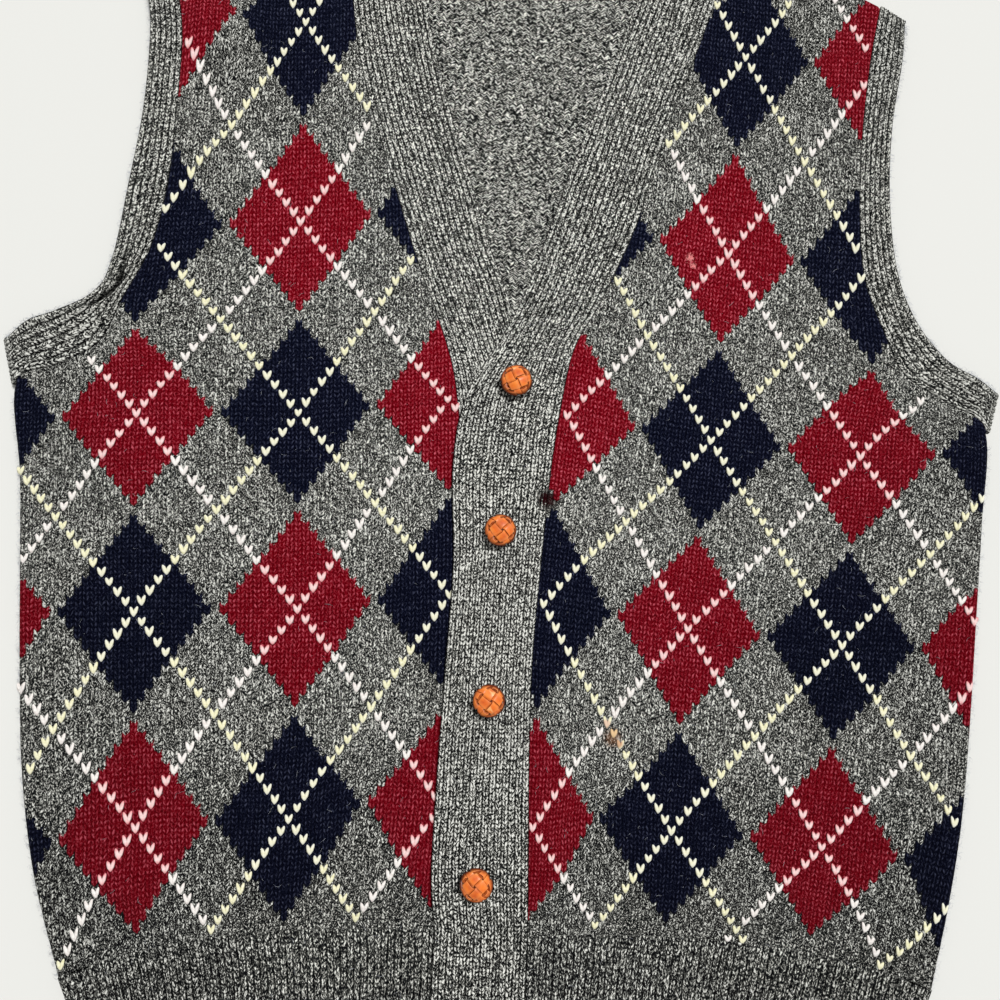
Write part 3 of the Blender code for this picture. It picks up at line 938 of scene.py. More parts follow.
def lineStitches(name, side, colour, material):
    # every stitch of one colour on one front; where two lines cross, the stitch is cream
    front = fronts[side]
    random = np.random.default_rng(7 if colour == "cream" else 11)
    seats = lineSeats(front, colour)
    if colour == "white":
        seats = seats - lineSeats(front, "cream")
    t, wide, tall = legShape().T
    middleTint, endTint, plainTint = lineStitch["tinted"]
    points, tinted = [], []
    for wale, row in np.array(sorted(seats), float):
        # on a diamond the yarn is tinted, at its ends most: the white yarn takes a painted pink, red light
        # from the diamond bleeding into it
        column, level = round(wale / diamondWales), round(row / diamondRows)
        reach = abs(wale / diamondWales - column) * 2 + abs(row / diamondRows - level) * 2
        onDiamond = reach < lineStitch["tintedTo"]
        at = np.array([wale, wale - 0.5, wale + 0.5, wale, wale])
        up = np.array([row, row, row, row - 1, row + 1])
        x, y = settle(front, at, up - lineStitch["below"])
        across = np.array([x[2] - x[1], y[2] - y[1]])
        along = np.array([x[4] - x[3], y[4] - y[3]])
        centre = np.array([x[0], y[0]]) + random.normal(0, lineStitch["stray"], 2)
        swing = random.normal(0, lineStitch["swing"])
        size = lineStitch["size"][colour] + random.normal(0, lineStitch["sizes"])
        for way in (-1, 1):
            a = way * (0.02 + lineStitch["spread"] * t**1.2) * size
            a = a + wide * lineStitch["legWidth"] / 2 + swing * (t - 0.5)
            b = (t - 0.5) * lineStitch["height"] * size + way * wide * -0.06
            xy = centre + a[:, None] * across + b[:, None] * along
            _, high = frontHeight(front, xy[:, 0], xy[:, 1])
            z = high - lineStitch["sink"] + 0.25 * np.sin(math.pi * t) + tall * lineStitch["legHeight"] / 2
            points.append(np.column_stack([xy, z]))
            tint = middleTint + endTint * np.abs(2 * t - 1) ** 1.5
            tinted.append(tint * (1.0 if onDiamond else plainTint))
    return addTubes(name, np.concatenate(points), 6, 6, np.concatenate(tinted), material)


lines = {}
for side in ("right", "left"):
    for colour, material in (("cream", creamYarn), ("white", whiteYarn)):
        name = f"{colour}Line{side.title()}"
        lines[name] = lineStitches(name, side, colour, material)
print("lines stitched", sum(len(piece.data.polygons) for piece in lines.values()))


# ---- ribbed bands

rib = {
    "pitch": 2.15,  # length of a row
    "depth": 0.7,
    "frontRibs": 14,
    "neckRibs": 12,
    "armholeRibs": 6,
    "betweenLegs": 0.14,
    "betweenRows": 0.22,
    "rise": 0.6,
    "unevenness": 0.35,
}


ribDeep = rib["depth"] + rib["betweenRows"]


def ribHollow(wale, row):
    s = np.abs(2 * (wale % 1.0) - 1)
    hollow, betweenRows = gaps(s, row, rib["depth"], rib["betweenLegs"], rib["betweenRows"])
    return hollow + betweenRows * (s < 0.9), s


def lengthAlong(points):
    return np.concatenate([[0], np.cumsum(np.linalg.norm(np.diff(points, axis=0), axis=1))])


def drawnIn(free, seam):
    # the way across a band, and its seam edge, which stands back from its neighbour by half a gap
    way = (seam - free) / np.linalg.norm(seam - free, axis=1)[:, None]
    return way, seam - way * cloth["seam"] / 2


def ribbedBand(name, free, seam, levels, ribs, seed):
    # a band between two edges, each with a point for every level of its underside
    edges = np.column_stack([free, drawnIn(free, seam)[1]])
    length = lengthAlong((edges[:, :2] + edges[:, 2:]) / 2)

    def spot(at, share):
        freeX, freeY, seamX, seamY = (np.interp(at, length, edges[:, k]) for k in range(4))
        return freeX * (1 - share) + seamX * share, freeY * (1 - share) + seamY * share

    rows = np.arange(0, length[-1] / rib["pitch"], 0.5)
    # four columns to a rib, from one valley to the next
    wale, row = np.meshgrid(np.arange(4 * ribs + 1) / 4, rows)
    hollow, s = ribHollow(wale, row)
    ends = ease(row / 2) * ease((rows[-1] - row) / 2)
    at = np.clip((row + rib["rise"] * (s - 0.5) * ends) * rib["pitch"], 0, length[-1])
    share = wale / ribs
    x, y = spot(at, share)
    x = x + rib["unevenness"] * wobble(x, y, seed) * ease(np.minimum(share, 1 - share) * 6)
    hollow = hollow * np.where(ends > 0, 1, 0.6)
    outer = grid(x, y, np.interp(at, length, levels) + cloth["wall"] - hollow)
    innerShare, innerRow = np.meshgrid([0.0, 0.5, 1.0], rows)
    at = innerRow * rib["pitch"]
    inner = grid(*spot(at, innerShare), np.interp(at, length, levels))
    outerUv, innerUv = grid(wale + seed * 10, row), grid(innerShare * ribs, innerRow)
    return loft(name, outer, inner, outerUv, innerUv, hollow / ribDeep, [ribWool])


def frontBand(name, sections, lift, seed):
    # straight up through the hem rib, then along the sections
    hemUp = np.linspace(hemRows["centre_y"][0], hemRows["centre_y"][-1], 30)[:-1]
    edges = []
    for edge in ("free", "seam"):
        below = np.column_stack([np.full(len(hemUp), sections[edge + "_x"][0]), hemUp])
        edges.append(np.concatenate([below, path(sections, edge, dense)]))
    at = np.concatenate([np.zeros(len(hemUp)), dense])
    return ribbedBand(name, *edges, cloth["frontLevel"] + lift(at), rib["frontRibs"], seed)


buttonBand = frontBand("buttonBandRib", rightSections, np.zeros_like, 0.4)
buttonholeBand = frontBand("buttonholeBandRib", leftSections, lapLift, 1.3)
neckAt = np.linspace(0, 8, 241)
neckBand = ribbedBand(
    "neckBandRib",
    path(neckRows, "free", neckAt),
    path(neckRows, "seam", neckAt),
    np.zeros(len(neckAt)),
    rib["neckRibs"],
    2.1,
)
print("bands knitted")


# the armhole band on the wearer's right is turned over at the underarm: the crease that this leaves,
# and how high the turned lip stands outside it
turned = {
    "x": (-198.6, -199.4, -199.7, -201.3, -204.8, -209.4, -213.4, -218.0),
    "y": (114.0, 107.0, 100.0, 94.5, 89.9, 86.2, 83.8, 81.5),
    "depth": (0.0, 1.0, 1.9, 2.2, 2.2, 1.8, 0.9, 0.0),
    "halfWidth": 0.95,
    "lip": 0.9,
    "lipAway": 3.8,
    "lipWidth": 2.2,
    "smoothed": 0.7,  # how far the ribs are pressed flat on the lip
    "shadow": 3.0,
}


def foldedLip(x, y):
    # how much a point of the band sinks in the crease or stands up on the lip
    fine = np.linspace(0, len(turned["x"]) - 1, 90)
    pathX, pathY, depth = (curve(turned[k], fine) for k in ("x", "y", "depth"))
    awayX, awayY = x[..., None] - pathX, y[..., None] - pathY
    nearest = np.argmin(awayX**2 + awayY**2, axis=-1)
    runX, runY = np.gradient(pathX)[nearest], np.gradient(pathY)[nearest]
    outX, outY = x - pathX[nearest], y - pathY[nearest]
    off = (outX * runY - outY * runX) / np.hypot(runX, runY)  # grows outward, away from the body
    here = depth[nearest] / max(turned["depth"])
    sunk = depth[nearest] * np.exp(-((off / turned["halfWidth"]) ** 2))
    raised = turned["lip"] * here * np.exp(-(((off - turned["lipAway"]) / turned["lipWidth"]) ** 2))
    return sunk, raised, here * ease((off - 0.5) / 2)


def armholeRing(name, side, sections, seed):
    # down the front armhole, over the fold at the shoulder, up the back and round the underarm
    at = np.linspace(underarm, shoulder, 161)
    free = path(armholeFree, side, at - underarm)
    way, seam = drawnIn(free, path(sections, "side", at))

    def outward(i, towards):
        # square to the band, where it folds over
        away = np.array([way[i][1], -way[i][0]])
        return away if away @ towards > 0 else -away

    def stretch(free, seam, away, turn):
        return np.column_stack([*(np.broadcast_to(v, (len(turn), 2)) for v in (free, seam, away)), turn])

    over = outward(-1, np.array([0.0, 1.0]))
    under = outward(0, np.array([-1.0 if side == "right" else 1.0, -1.0]))
    turn = np.linspace(0, math.pi, 13)[1:-1]
    ring = np.concatenate([
        stretch(free, seam, (0, 0), np.zeros(len(at))),
        stretch(free[-1], seam[-1], over, turn),
        stretch(free[::-1], seam[::-1], (0, 0), np.full(len(at), math.pi)),
        stretch(free[0], seam[0], under, np.append(turn[::-1], 0)),
    ])
    centre = cloth["wall"] + cloth["gap"] / 2
    middle = (ring[:, :2] + ring[:, 2:4]) / 2 + ring[:, 4:6] * np.sin(ring[:, 6:]) * centre
    length = lengthAlong(np.column_stack([middle, centre * np.cos(ring[:, 6])]))
    count = round(length[-1] / rib["pitch"])
    pitch = length[-1] / count

    def spot(where, share, radius):
        freeX, freeY, seamX, seamY, awayX, awayY, phi = (np.interp(where, length, k) for k in ring.T)
        reach = np.sin(phi) * radius
        x = freeX * (1 - share) + seamX * share + awayX * reach
        y = freeY * (1 - share) + seamY * share + awayY * reach
        return grid(x, y, centre + np.cos(phi) * radius)

    ribs = rib["armholeRibs"]
    rows = np.arange(0, count, 0.5)
    wale, row = np.meshgrid(np.arange(4 * ribs + 1) / 4, rows)
    hollow, s = ribHollow(wale, row)
    outer = spot(((row + rib["rise"] * (s - 0.5)) * pitch) % length[-1], wale / ribs, centre - hollow)
    if side == "right":
        sunk, raised, onLip = foldedLip(outer[..., 0], outer[..., 1])
        upper = np.clip(outer[..., 2] - centre, 0, 1)
        smooth = hollow * onLip * turned["smoothed"] * upper
        outer[..., 2] += (raised - sunk) * upper + smooth
        hollow = hollow - smooth + sunk * upper * turned["shadow"]
    innerShare, innerRow = np.meshgrid([0.0, 1.0], rows)
    inner = spot(innerRow * pitch, innerShare, cloth["gap"] / 2)
    outerUv, innerUv = grid(wale + seed * 10, row), grid(innerShare * ribs, innerRow)
    return loft(name, outer, inner, outerUv, innerUv, hollow / ribDeep, [ribWool], ring=True)


armholeRight = armholeRing("armholeBandRightRib", "right", rightSections, 3.2)
armholeLeft = armholeRing("armholeBandLeftRib", "left", leftSections, 4.5)


# ---- hem ribs, two knit and one purl

hem = {
    "repeats": {"right": 27, "left": 30},
    "deep": 1.1,
    "shallow": 0.75,
    "betweenLegs": 0.2,
    "betweenRows": 0.2,
    "rows": 33.5,
    "rise": 0.6,
    "unevenness": 0.25,
    "backWales": 117,
    "backValley": 0.8,
    "start": 5,  # rows over which the ribs grow out of the plain knitting
}


def hemRib(name, side, sections, seed):
    # ribs in pairs, with a deep valley on each side of a pair and a shallow one inside it
    total, wales = hem["rows"], 2 * hem["repeats"][side]

    def spot(share, row):
        row = np.minimum(row, total)
        up = row / total * 3
        sideX, sideY = curve(hemRows[side + "_x"], up), curve(hemRows[side + "_y"], up)
        centreX, centreY = sections["seam_x"][0], curve(hemRows["centre_y"], up)
        # both ends stand back from the neighbour by half a gap
        inset = cloth["seam"] / 2 / abs(centreX - sideX)
        share = inset + share * (1 - 2 * inset)
        x = sideX + (centreX - sideX) * share
        y = sideY + (centreY - sideY) * share + hemBow(share) - cloth["seam"] / 2 * (row >= total)
        level = cloth["frontLevel"]
        if side == "left":
            level = level + cloth["lap"] * (1 - ease(np.abs(centreX - x) / cloth["lapSlope"]))
        return x, y, level, np.abs(x - sideX)

    rows = np.arange(0, total + 0.1, 0.5)
    wale, row = np.meshgrid(np.arange(4 * wales + 1) / 4, rows)
    s = np.abs(2 * (wale % 1.0) - 1)
    valley = np.where(np.abs(wale % 2.0 - 1) < 0.1, hem["shallow"], hem["deep"])
    hollow, betweenRows = gaps(s, row, valley, hem["betweenLegs"], hem["betweenRows"])
    hollow = hollow * ease((total - row) / hem["start"]) + betweenRows * (s < 0.9)
    share = wale / wales
    climb = hem["rise"] * (s - 0.5) * ease(row / 2)
    x, y, level, toSide = spot(share if side == "right" else 1 - share, row + climb)
    drop = edgeDrop(toSide, 2 * cloth["foldRadius"], cloth["wall"] - hem["deep"] - 0.4)
    top = np.maximum(level + cloth["wall"] - hollow - drop, level + 0.4)
    outer = grid(x + hem["unevenness"] * wobble(x, y, seed) * ease(toSide / 8), y, top)
    innerShare, innerRow = np.meshgrid(np.linspace(0, 1, 13), rows)
    inner = grid(*spot(innerShare, innerRow)[:3])
    if side == "left":
        inner = inner[:, ::-1]
    outerUv, innerUv = grid(wale + seed * 10, row), grid(innerShare * wales, innerRow)
    return loft(name, outer, inner, outerUv, innerUv, np.clip(hollow / 1.3, 0, 1), [hemWool])


hemRight = hemRib("hemRightRib", "right", rightSections, 0.9)
hemLeft = hemRib("hemLeftRib", "left", leftSections, 2.7)
print("hem knitted")


# ---- the back, its purl side showing in the neck

backKnit = {
    "wale": 3.7,
    "row": 2.5,
    "window": (-78, 104),  # the stitches are made where they show, in the neck
    "windowFrom": 66,
    "halfWidth": 182.5,  # that the columns are laid out over
    "bump": 0.42,
    "wave": 0.28,
}
foldShares = 0, 0.0015, 0.006, 0.994, 0.9985, 1  # columns where the cloth folds round at its sides


def neckEdge(share):
    # the upper edge: right shoulder, neck seam, left shoulder
    neck = path(neckRows, "seam", neckAt) - (0, cloth["seam"] / 2)
    right, left = (path(sections, "side", [shoulder]) for sections in (rightSections, leftSections))
    x = right[0, 0] + (left[0, 0] - right[0, 0]) * share
    return x, np.interp(x, *np.concatenate([right, neck, left]).T)


def backSpot(share, at):
    (rightX, rightY), (leftX, leftY) = (
        (curve(sections["side_x"], at), curve(sections["side_y"], at))
        for sections in (rightSections, leftSections)
    )
    inset = np.where(at > underarm, cloth["seam"] / 2, 0)
    rightX, leftX = rightX + inset, leftX - inset
    rightTop, leftTop = rightSections["side_y"][-1], leftSections["side_y"][-1]
    rise = neckEdge(share)[1] - (rightTop + (leftTop - rightTop) * share)
    weight = ease((at - underarm) / (shoulder - underarm)) ** 1.5
    x = rightX + (leftX - rightX) * share
    y = rightY + (leftY - rightY) * share + weight * rise
    return x, np.where(at < 1e-6, hemY(x) + cloth["seam"] / 2, y)


def knitBack(name):
    centreAt = np.linspace(0, shoulder, 2801)
    centreY = backSpot(np.full(len(centreAt), 0.5), centreAt)[1]
    waleWidth, rowHeight, half = backKnit["wale"], backKnit["row"], backKnit["halfWidth"]
    left, right = backKnit["window"]
    fine = np.arange(math.ceil(left / waleWidth), right / waleWidth, 0.25)
    coarse = np.concatenate([np.linspace(-half, left - 8, 9), np.linspace(right + 8, half, 7)])
    edge = np.array([-half + 0.6, -half + 2.3, half - 2.3, half - 0.6])
    wales = np.unique(np.concatenate([fine, coarse / waleWidth, edge / waleWidth]))
    top = centreY[-1] / rowHeight
    fineRows = np.arange(math.ceil(backKnit["windowFrom"] / rowHeight), top, 0.5)
    coarseRows = np.linspace(centreY[0], backKnit["windowFrom"] - 8, 14) / rowHeight
    rows = np.concatenate([coarseRows, fineRows, [top]])
    wale, row = np.meshgrid(wales, rows)
    isFine = (wale >= fine[0]) & (wale <= fine[-1]) & (row >= fineRows[0]) & (row < top - 1)
    bend = backKnit["wave"] * np.cos(2 * math.pi * wale) * isFine
    at = np.interp((row + bend) * rowHeight, centreY, centreAt)
    x, y = backSpot(np.clip(wale * waleWidth / (2 * half) + 0.5, 0, 1), at)
    ridge = np.abs(2 * (row % 1.0) - 1)
    hollow = ((1 - ridge) * 0.8 + 0.2 * (np.abs(2 * (wale % 1.0) - 1) > 0.9)) * isFine
    inside = grid(x, y, cloth["wall"] - backKnit["bump"] * hollow)
    share, row = np.meshgrid(np.unique([*foldShares, *np.linspace(0, 1, 41)]), rows)
    at = np.interp(row * rowHeight, centreY, centreAt)
    width = curve(leftSections["side_x"], at) - curve(rightSections["side_x"], at)
    toSide = width * np.minimum(share, 1 - share)
    fold = edgeDrop(toSide, cloth["foldRadius"], cloth["wall"] - cloth["thinnest"])
    low = np.where(at <= underarm, fold, 0.0)
    outside = grid(*backSpot(share, at), low)
    insideUv, outsideUv = grid(wale, rows[:, None]), grid((share - 0.5) * 2 * half / waleWidth, row)
    return loft(name, inside, outside, insideUv, outsideUv, hollow, [insideWool, backWool])


back = knitBack("backKnit")


def knitHemBack(name):
    # plain ribs, a valley after every two columns
    share, row = np.meshgrid(np.unique([*foldShares, *np.linspace(0, 1, 163)]), np.arange(34.0))
    up = row / row.max() * 3
    rightX, leftX = curve(hemRows["right_x"], up), curve(hemRows["left_x"], up)
    x = rightX + (leftX - rightX) * share
    y = np.zeros_like(x)
    for k in range(3):
        part = (up >= k) & (up <= k + 1)
        y = np.where(part, hemY(x, k) * (k + 1 - up) + hemY(x, k + 1) * (up - k), y)
    y = y - cloth["seam"] / 2 * (row == row.max())
    toSide = (leftX - rightX) * np.minimum(share, 1 - share)
    low = edgeDrop(toSide, cloth["foldRadius"], cloth["wall"] - cloth["thinnest"])
    valley = hem["backValley"] * (np.arange(share.shape[1]) % 3 == 2) * (toSide > 6)
    outer, inner = grid(x, y, low + valley), grid(x, y, cloth["wall"])
    uv = grid(share * hem["backWales"], row)
    columns = np.arange(0, share.shape[1], 6)
    inner[:, columns[-1]] = inner[:, -1]
    return loft(name, outer, inner[:, columns], uv, uv[:, columns], valley, [hemWool])


hemBack = knitHemBack("hemBackRib")
print("back knitted", len(back.data.polygons))


# ---- buttons: woven leather knots

button = {
    "diameter": 13.8,  # of the ball that the straps are bent over
    "places": ((9.0, 51.8), (4.8, -24.7), (3.4, -108.6), (2.2, -195.4), (1.0, -283.0)),
    "turn": (28, 45, 56, 48, 64),
    "tilt": ((0, 0), (6, 6), (8, 8), (-5, -5), (4, 4)),  # how far the middle of the weave lies off centre
    "centre": 12.5,
    "flatness": 0.54,
    "crossings": (-66, -22, 22, 66),
    "reach": 190,
    "strapWidth": 4.5,
    "strapThickness": 0.85,
    "weave": 0.68,
    "rim": 7.9,  # radius at which the painted shade on the leather is darkest
    "crown": 7.6,  # distance from the middle of the ball below which painted shade darkens the leather
    "grooveDepth": 1.5,
    "coreInset": 0.45,
}


def leatherMaterial(name, low, middle, high, edgeHighlight, paintedShade=shade(84, 20, 0)):
    material, tree = startMaterial(
        name, {"Roughness": 0.46, "Specular IOR Level": 0.2, "Coat Weight": 0.14, "Coat Roughness": 0.2}
    )
    where = node(tree, "TexCoord").outputs["Object"]
    patch = noise(tree, where, scale=260.0, detail=3.0).outputs[0]
    colour = ramp(tree, patch, (0.30, low), (0.50, middle), (0.70, high))
    # painted highlight: the straps' edges are paler
    edge = node(tree, "NewGeometry").outputs["Pointiness"]
    colour = mix(tree, ramp(tree, edge, (0.50, (0, 0, 0)), (0.60, (1, 1, 1))), colour, edgeHighlight)
    # and painted shade darkens the rim and the grooves
    colour = mix(tree, hollowHere(tree), colour, paintedShade)
    grain = node(tree, "TexVoronoi", where, inputs={"Scale": 1900.0}).outputs[0]
    return finishMaterial(material, colour, grain, 0.15, 0.1)


leather = leatherMaterial(
    "woven_leather", shade(204, 66, 0), shade(238, 100, 0), shade(255, 132, 28), shade(255, 180, 112)
)
# the straps' cut edges and the core seen between them: partly their own dark colour, partly painted shade
# in the gaps
cutEdge = leatherMaterial(
    "strap_edge", shade(84, 20, 0), shade(112, 34, 2), shade(140, 50, 8), shade(170, 76, 24)
)


def deselect():
    if bpy.context.mode != "OBJECT":
        bpy.ops.object.mode_set(mode="OBJECT")
    bpy.ops.object.select_all(action="DESELECT")


def choose(*chosen):
    deselect()
    for piece in chosen:
        piece.select_set(True)
    bpy.context.view_layer.objects.active = chosen[-1]


def settlePiece(piece):
    # what was moved, turned or modified becomes the piece's own mesh
    choose(piece)
    bpy.ops.object.transform_apply(location=True, rotation=True, scale=True)
    for modifier in list(piece.modifiers):
        bpy.ops.object.modifier_apply(modifier=modifier.name)


def selectWhere(piece, test):
    mesh = bmesh.from_edit_mesh(piece.data)
    for vertex in mesh.verts:
        vertex.select_set(test(vertex.co))
    mesh.select_flush_mode()
    bmesh.update_edit_mesh(piece.data)


def makeStrap(first, lean):
    # a flat strap on edge, stepped over and under at each crossing, narrowed to its ends, then bent;
    # a strap that leans away from the top meets the others nearer its middle
    radius = button["diameter"] / 2 * millimetre
    length = math.radians(button["reach"]) * radius
    halfStrap = math.degrees(button["strapWidth"] / button["diameter"]) + 1.2
    steps = 38
    deselect()
    bpy.ops.mesh.primitive_grid_add(
        x_subdivisions=steps, y_subdivisions=2, size=1, rotation=(math.pi / 2, 0, 0)
    )
    piece = bpy.context.object
    piece.data.materials.append(leather)
    piece.data.materials.append(cutEdge)
    piece.dimensions = (length, button["strapWidth"] * millimetre, 0)
    settlePiece(piece)
    bpy.ops.object.mode_set(mode="EDIT")
    for number, crossing in enumerate(button["crossings"]):
        low, high = (
            math.atan(math.tan(math.radians(edge)) * math.cos(math.radians(lean))) * radius
            for edge in (crossing - halfStrap, crossing + halfStrap)
        )
        selectWhere(piece, lambda point: low <= point.x <= high)
        step = button["weave"] * millimetre * (1 if (number + first) % 2 else -1)
        bpy.ops.transform.translate(value=(0, -step, 0))
    for k in range(steps + 1):
        here = length * (k / steps - 0.5)
        narrow = max(0.35, math.cos(here / radius))
        selectWhere(piece, lambda point: abs(point.x - here) <= 1e-5)
        bpy.ops.transform.resize(value=(1, 1, narrow))
    bpy.ops.object.mode_set(mode="OBJECT")
    thick = piece.modifiers.new("thickness", "SOLIDIFY")
    thick.thickness = button["strapThickness"] * millimetre
    thick.offset = 0
    thick.material_offset_rim = 1
    soft = piece.modifiers.new("edge", "BEVEL")
    soft.width = 0.2 * millimetre
    soft.segments = 2
    soft.material = 0
    soft.limit_method = "ANGLE"
    settlePiece(piece)
    bend = piece.modifiers.new("bend", "SIMPLE_DEFORM")
    bend.deform_method = "BEND"
    bend.deform_axis = "Z"
    bend.angle = math.radians(button["reach"])
    settlePiece(piece)
    piece.rotation_euler = (-math.pi / 2, 0, 0)
    piece.location = (0, 0, radius)
    settlePiece(piece)
    return piece


def copyOf(piece):
    made = piece.copy()
    made.data = piece.data.copy()
    bpy.context.scene.collection.objects.link(made)
    return made


def makeKnot():
    # eight straps woven over a ball, and the core that they are drawn over
    radius = button["diameter"] / 2 * millimetre
    kinds = {}
    straps = []
    for way in (0, 1):
        for number, crossing in enumerate(button["crossings"]):
            kind = (number + way) % 2, abs(crossing)
            if kind not in kinds:
                kinds[kind] = makeStrap(*kind)
            piece = copyOf(kinds[kind])
            piece.rotation_euler = (math.radians(-crossing if way else crossing), 0, 0)
            settlePiece(piece)
            piece.rotation_euler = (0, 0, math.radians(90 * way))
            settlePiece(piece)
            straps.append(piece)
    for piece in kinds.values():
        bpy.data.objects.remove(piece)
    deselect()
    inset = button["coreInset"] * millimetre
    bpy.ops.mesh.primitive_uv_sphere_add(segments=32, ring_count=16, radius=radius - inset)
    core = bpy.context.object
    bpy.ops.object.mode_set(mode="EDIT")
    selectWhere(core, lambda point: point.z < -0.55 * radius)
    bpy.ops.transform.resize(value=(0.8, 0.8, 1))  # drawn in to the shank
    bpy.ops.object.mode_set(mode="OBJECT")
    core.data.materials.append(cutEdge)
    choose(core, *straps)
    bpy.ops.object.join()
    ball = straps[-1].data
    # painted shade in the grooves, where the leather lies below the crown
    hollow = ball.attributes.new("hollow", "FLOAT", "POINT")
    for vertex, value in zip(ball.vertices, hollow.data):
        sunk = button["crown"] - vertex.co.length / millimetre
        value.value = min(max(sunk / button["grooveDepth"], 0.0), 1.0)
    return straps[-1]


knot = makeKnot()
buttons = []
for number, (x, y) in enumerate(button["places"]):
    piece = copyOf(knot)
    piece.name = f"knotButton{number + 1}"
    tiltX, tiltY = button["tilt"][number]
    piece.rotation_euler = (math.radians(tiltX), math.radians(tiltY), math.radians(button["turn"][number]))
    settlePiece(piece)
    piece.scale = (1, 1, button["flatness"])
    piece.location = Vector((x, y, button["centre"])) * millimetre
    settlePiece(piece)
    bpy.ops.object.shade_smooth_by_angle(angle=math.radians(40))
    for vertex, value in zip(piece.data.vertices, piece.data.attributes["hollow"].data):
        away = math.hypot(vertex.co.x / millimetre - x, vertex.co.y / millimetre - y) / button["rim"]
        value.value = max(value.value, float(ease((away - 0.84) / 0.16)))  # painted shade, dark over the last sixth
    buttons.append(piece)
bpy.data.objects.remove(knot)
print("buttons woven", len(buttons[0].data.polygons))


# ---- loose fibres, on the cloth and along its edges

fuzz = {
    "onCloth": 1500,
    "onEdges": 2000,
    "length": (1.5, 4.5),
    "halfThickness": 0.05,
    "taper": (0.5, 1, 1, 1, 0.4),
    "foldLevel": 3.2,
    "armholeLevel": 4.4,
}


def looseFibres(name, material):
    random = np.random.default_rng(23)
    roots, ways = [], []
    shares = (frontRight, 0.36), (frontLeft, 0.36), (buttonBand, 0.06), (buttonholeBand, 0.14)
    for piece, share in (*shares, (hemRight, 0.04), (hemLeft, 0.04)):
        points = np.empty(3 * len(piece.data.vertices), np.float32)
        piece.data.vertices.foreach_get("co", points)
        points = points.reshape(-1, 3) / millimetre
        points = points[points[:, 2] > cloth["frontLevel"] + 1.6]
        picked = points[random.integers(0, len(points), int(fuzz["onCloth"] * share))]
        turn = random.uniform(0, 2 * math.pi, len(picked))
        roots.append(picked)
        ways.append(np.column_stack([np.cos(turn), np.sin(turn)]))
    count = fuzz["onEdges"] // 4
    for side, sections, out in (("right", rightSections, -1), ("left", leftSections, 1)):
        folded = path(sections, "side", random.uniform(0, underarm - 0.2, count))
        free = path(armholeFree, side, random.uniform(0, shoulder - underarm, count))
        for edge, level in ((folded, fuzz["foldLevel"]), (free, fuzz["armholeLevel"])):
            turn = random.normal(0, 0.8, count)
            roots.append(np.column_stack([edge, np.full(count, level)]))
            ways.append(np.column_stack([out * np.cos(turn), np.sin(turn)]))
    roots, ways = np.concatenate(roots)[:, None], np.concatenate(ways)[:, None]
    count = len(roots)
    length = random.uniform(*fuzz["length"], count)[:, None, None]
    bow = random.normal(0, 0.35, count)[:, None, None]
    lift = random.uniform(0.15, 0.8, count)[:, None]
    taper = np.array(fuzz["taper"])
    t = np.linspace(0, 1, len(taper))
    along = t[:, None]
    side = np.stack([-ways[..., 1], ways[..., 0]], axis=2)
    middle = roots[..., :2] + (along - 0.3) * length * ways + bow * length * (along - along**2) * 2 * side
    level = roots[..., 2] - 0.25 + lift * np.sin(math.pi * t)
    # three sides to a fibre
    turn = 2 * math.pi * np.arange(3) / 3
    thick = fuzz["halfThickness"] * taper[:, None]
    xy = middle[:, :, None] + (thick * np.cos(turn))[None, :, :, None] * side[:, :, None]
    z = level[:, :, None] + thick * np.sin(turn)
    points = np.concatenate([xy, z[..., None]], axis=3).reshape(-1, 3)
    return addTubes(name, points, len(taper), 3, np.zeros(len(points)), material)


greyFibre = plainMaterial(
    "loose_fibre", shade(214, 218, 226), shade(120, 124, 134), shade(180, 182, 188), sheen=0.0
)
fibres = looseFibres("looseFibres", greyFibre)
print("fibres scattered", len(fibres.data.polygons))


# ---- the stage, the camera and the light


light = {
    "sun": 2.75,
    "spread": 16,  # of the sun, which softens its shadows
    "from": (0.30, 0.38, 1.0),
    "sky": 0.26,
    "skyColour": (1.0, 1.0, 0.99, 1),
    "floorColour": (0.82, 0.82, 0.785, 1),
}


def plainFloor():
    bpy.ops.mesh.primitive_plane_add(size=6, location=(0, 0, -0.0002))
    floor = bpy.context.object
    floor.name = "floor"
    finish = {"Base Color": light["floorColour"], "Roughness": 0.75, "Specular IOR Level": 0.2}
    floor.data.materials.append(startMaterial("floor_white", finish)[0])


deselect()
plainFloor()

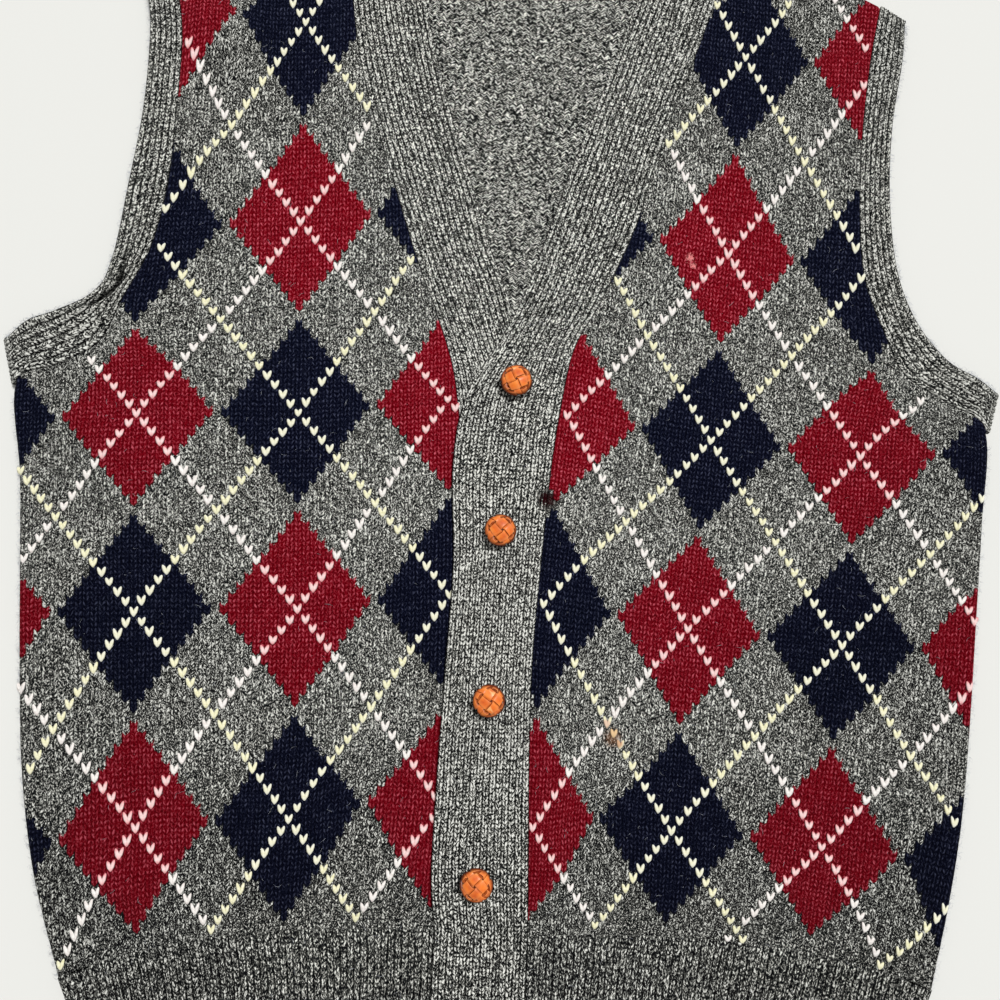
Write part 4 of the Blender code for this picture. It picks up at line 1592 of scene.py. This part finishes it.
view = {"focal": 34.67, "x": 6.67, "y": -64.05, "height": 491.2, "tilt": 6.5, "turn": 2.947}
lens = bpy.data.cameras.new("camera")
lens.lens = view["focal"]
lens.sensor_width = 36
lens.clip_start = 0.01
camera = bpy.data.objects.new("camera", lens)
camera.location = Vector((view["x"], view["y"], view["height"])) * millimetre
camera.rotation_euler = (math.radians(view["tilt"]), 0, math.radians(view["turn"]))
bpy.context.scene.collection.objects.link(camera)
bpy.context.scene.camera = camera

world = bpy.data.worlds.new("studio")
world.use_nodes = True
world.node_tree.nodes["Background"].inputs["Color"].default_value = light["skyColour"]
world.node_tree.nodes["Background"].inputs["Strength"].default_value = light["sky"]
bpy.context.scene.world = world
bpy.context.scene.view_settings.view_transform = "Standard"

sun = bpy.data.lights.new("key", "SUN")
sun.energy = light["sun"]
sun.angle = math.radians(light["spread"])
lamp = bpy.data.objects.new("key", sun)
lamp.rotation_euler = Vector(light["from"]).to_track_quat("Z", "Y").to_euler()
bpy.context.scene.collection.objects.link(lamp)
print("stage set")


# ---- what each piece is

pieces = [
    (frontRight, "argyle_knit", ["front_right"], (0.235, 0.56), 0.092, ["back"]),
    (frontLeft, "argyle_knit", ["front_left"], (0.230, 0.545), 0.092, ["back"]),
    (back, "grey_knit", ["back"], (0.502, 0.56), 0.235, ["floor"]),
    (hemBack, "grey_rib", ["hem_rib_back"], (0.417, 0.095), 0.033, ["floor"]),
    (hemRight, "grey_rib", ["hem_rib_front_right"], (0.182, 0.09), 0.0138, ["hemBackRib"]),
    (hemLeft, "grey_rib", ["hem_rib_front_left"], (0.192, 0.09), 0.0148, ["hemBackRib"]),
    (buttonBand, "grey_rib", ["button_band"], (0.041, 0.65), None, ["backKnit"]),
    (buttonholeBand, "grey_rib", ["buttonhole_band"], (0.046, 0.66), None, ["buttonBandRib"]),
    (neckBand, "grey_rib", ["neck_band_back"], (0.036, 0.215), 0.0070, ["floor"]),
    (armholeRight, "grey_rib", ["armhole_band_right"], (0.0212, 0.50), None, ["floor"]),
    (armholeLeft, "grey_rib", ["armhole_band_left"], (0.0183, 0.50), None, ["floor"]),
]
for piece, slotName, nodes, flat, area, restsOn in pieces:
    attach(piece, "root")
    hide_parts(*nodes)
for piece in lines.values():
    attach(piece, "root")
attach(fibres, "root")
for number, piece in enumerate(buttons):
    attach(piece, "root")
    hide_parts(f"button_{number + 1}")
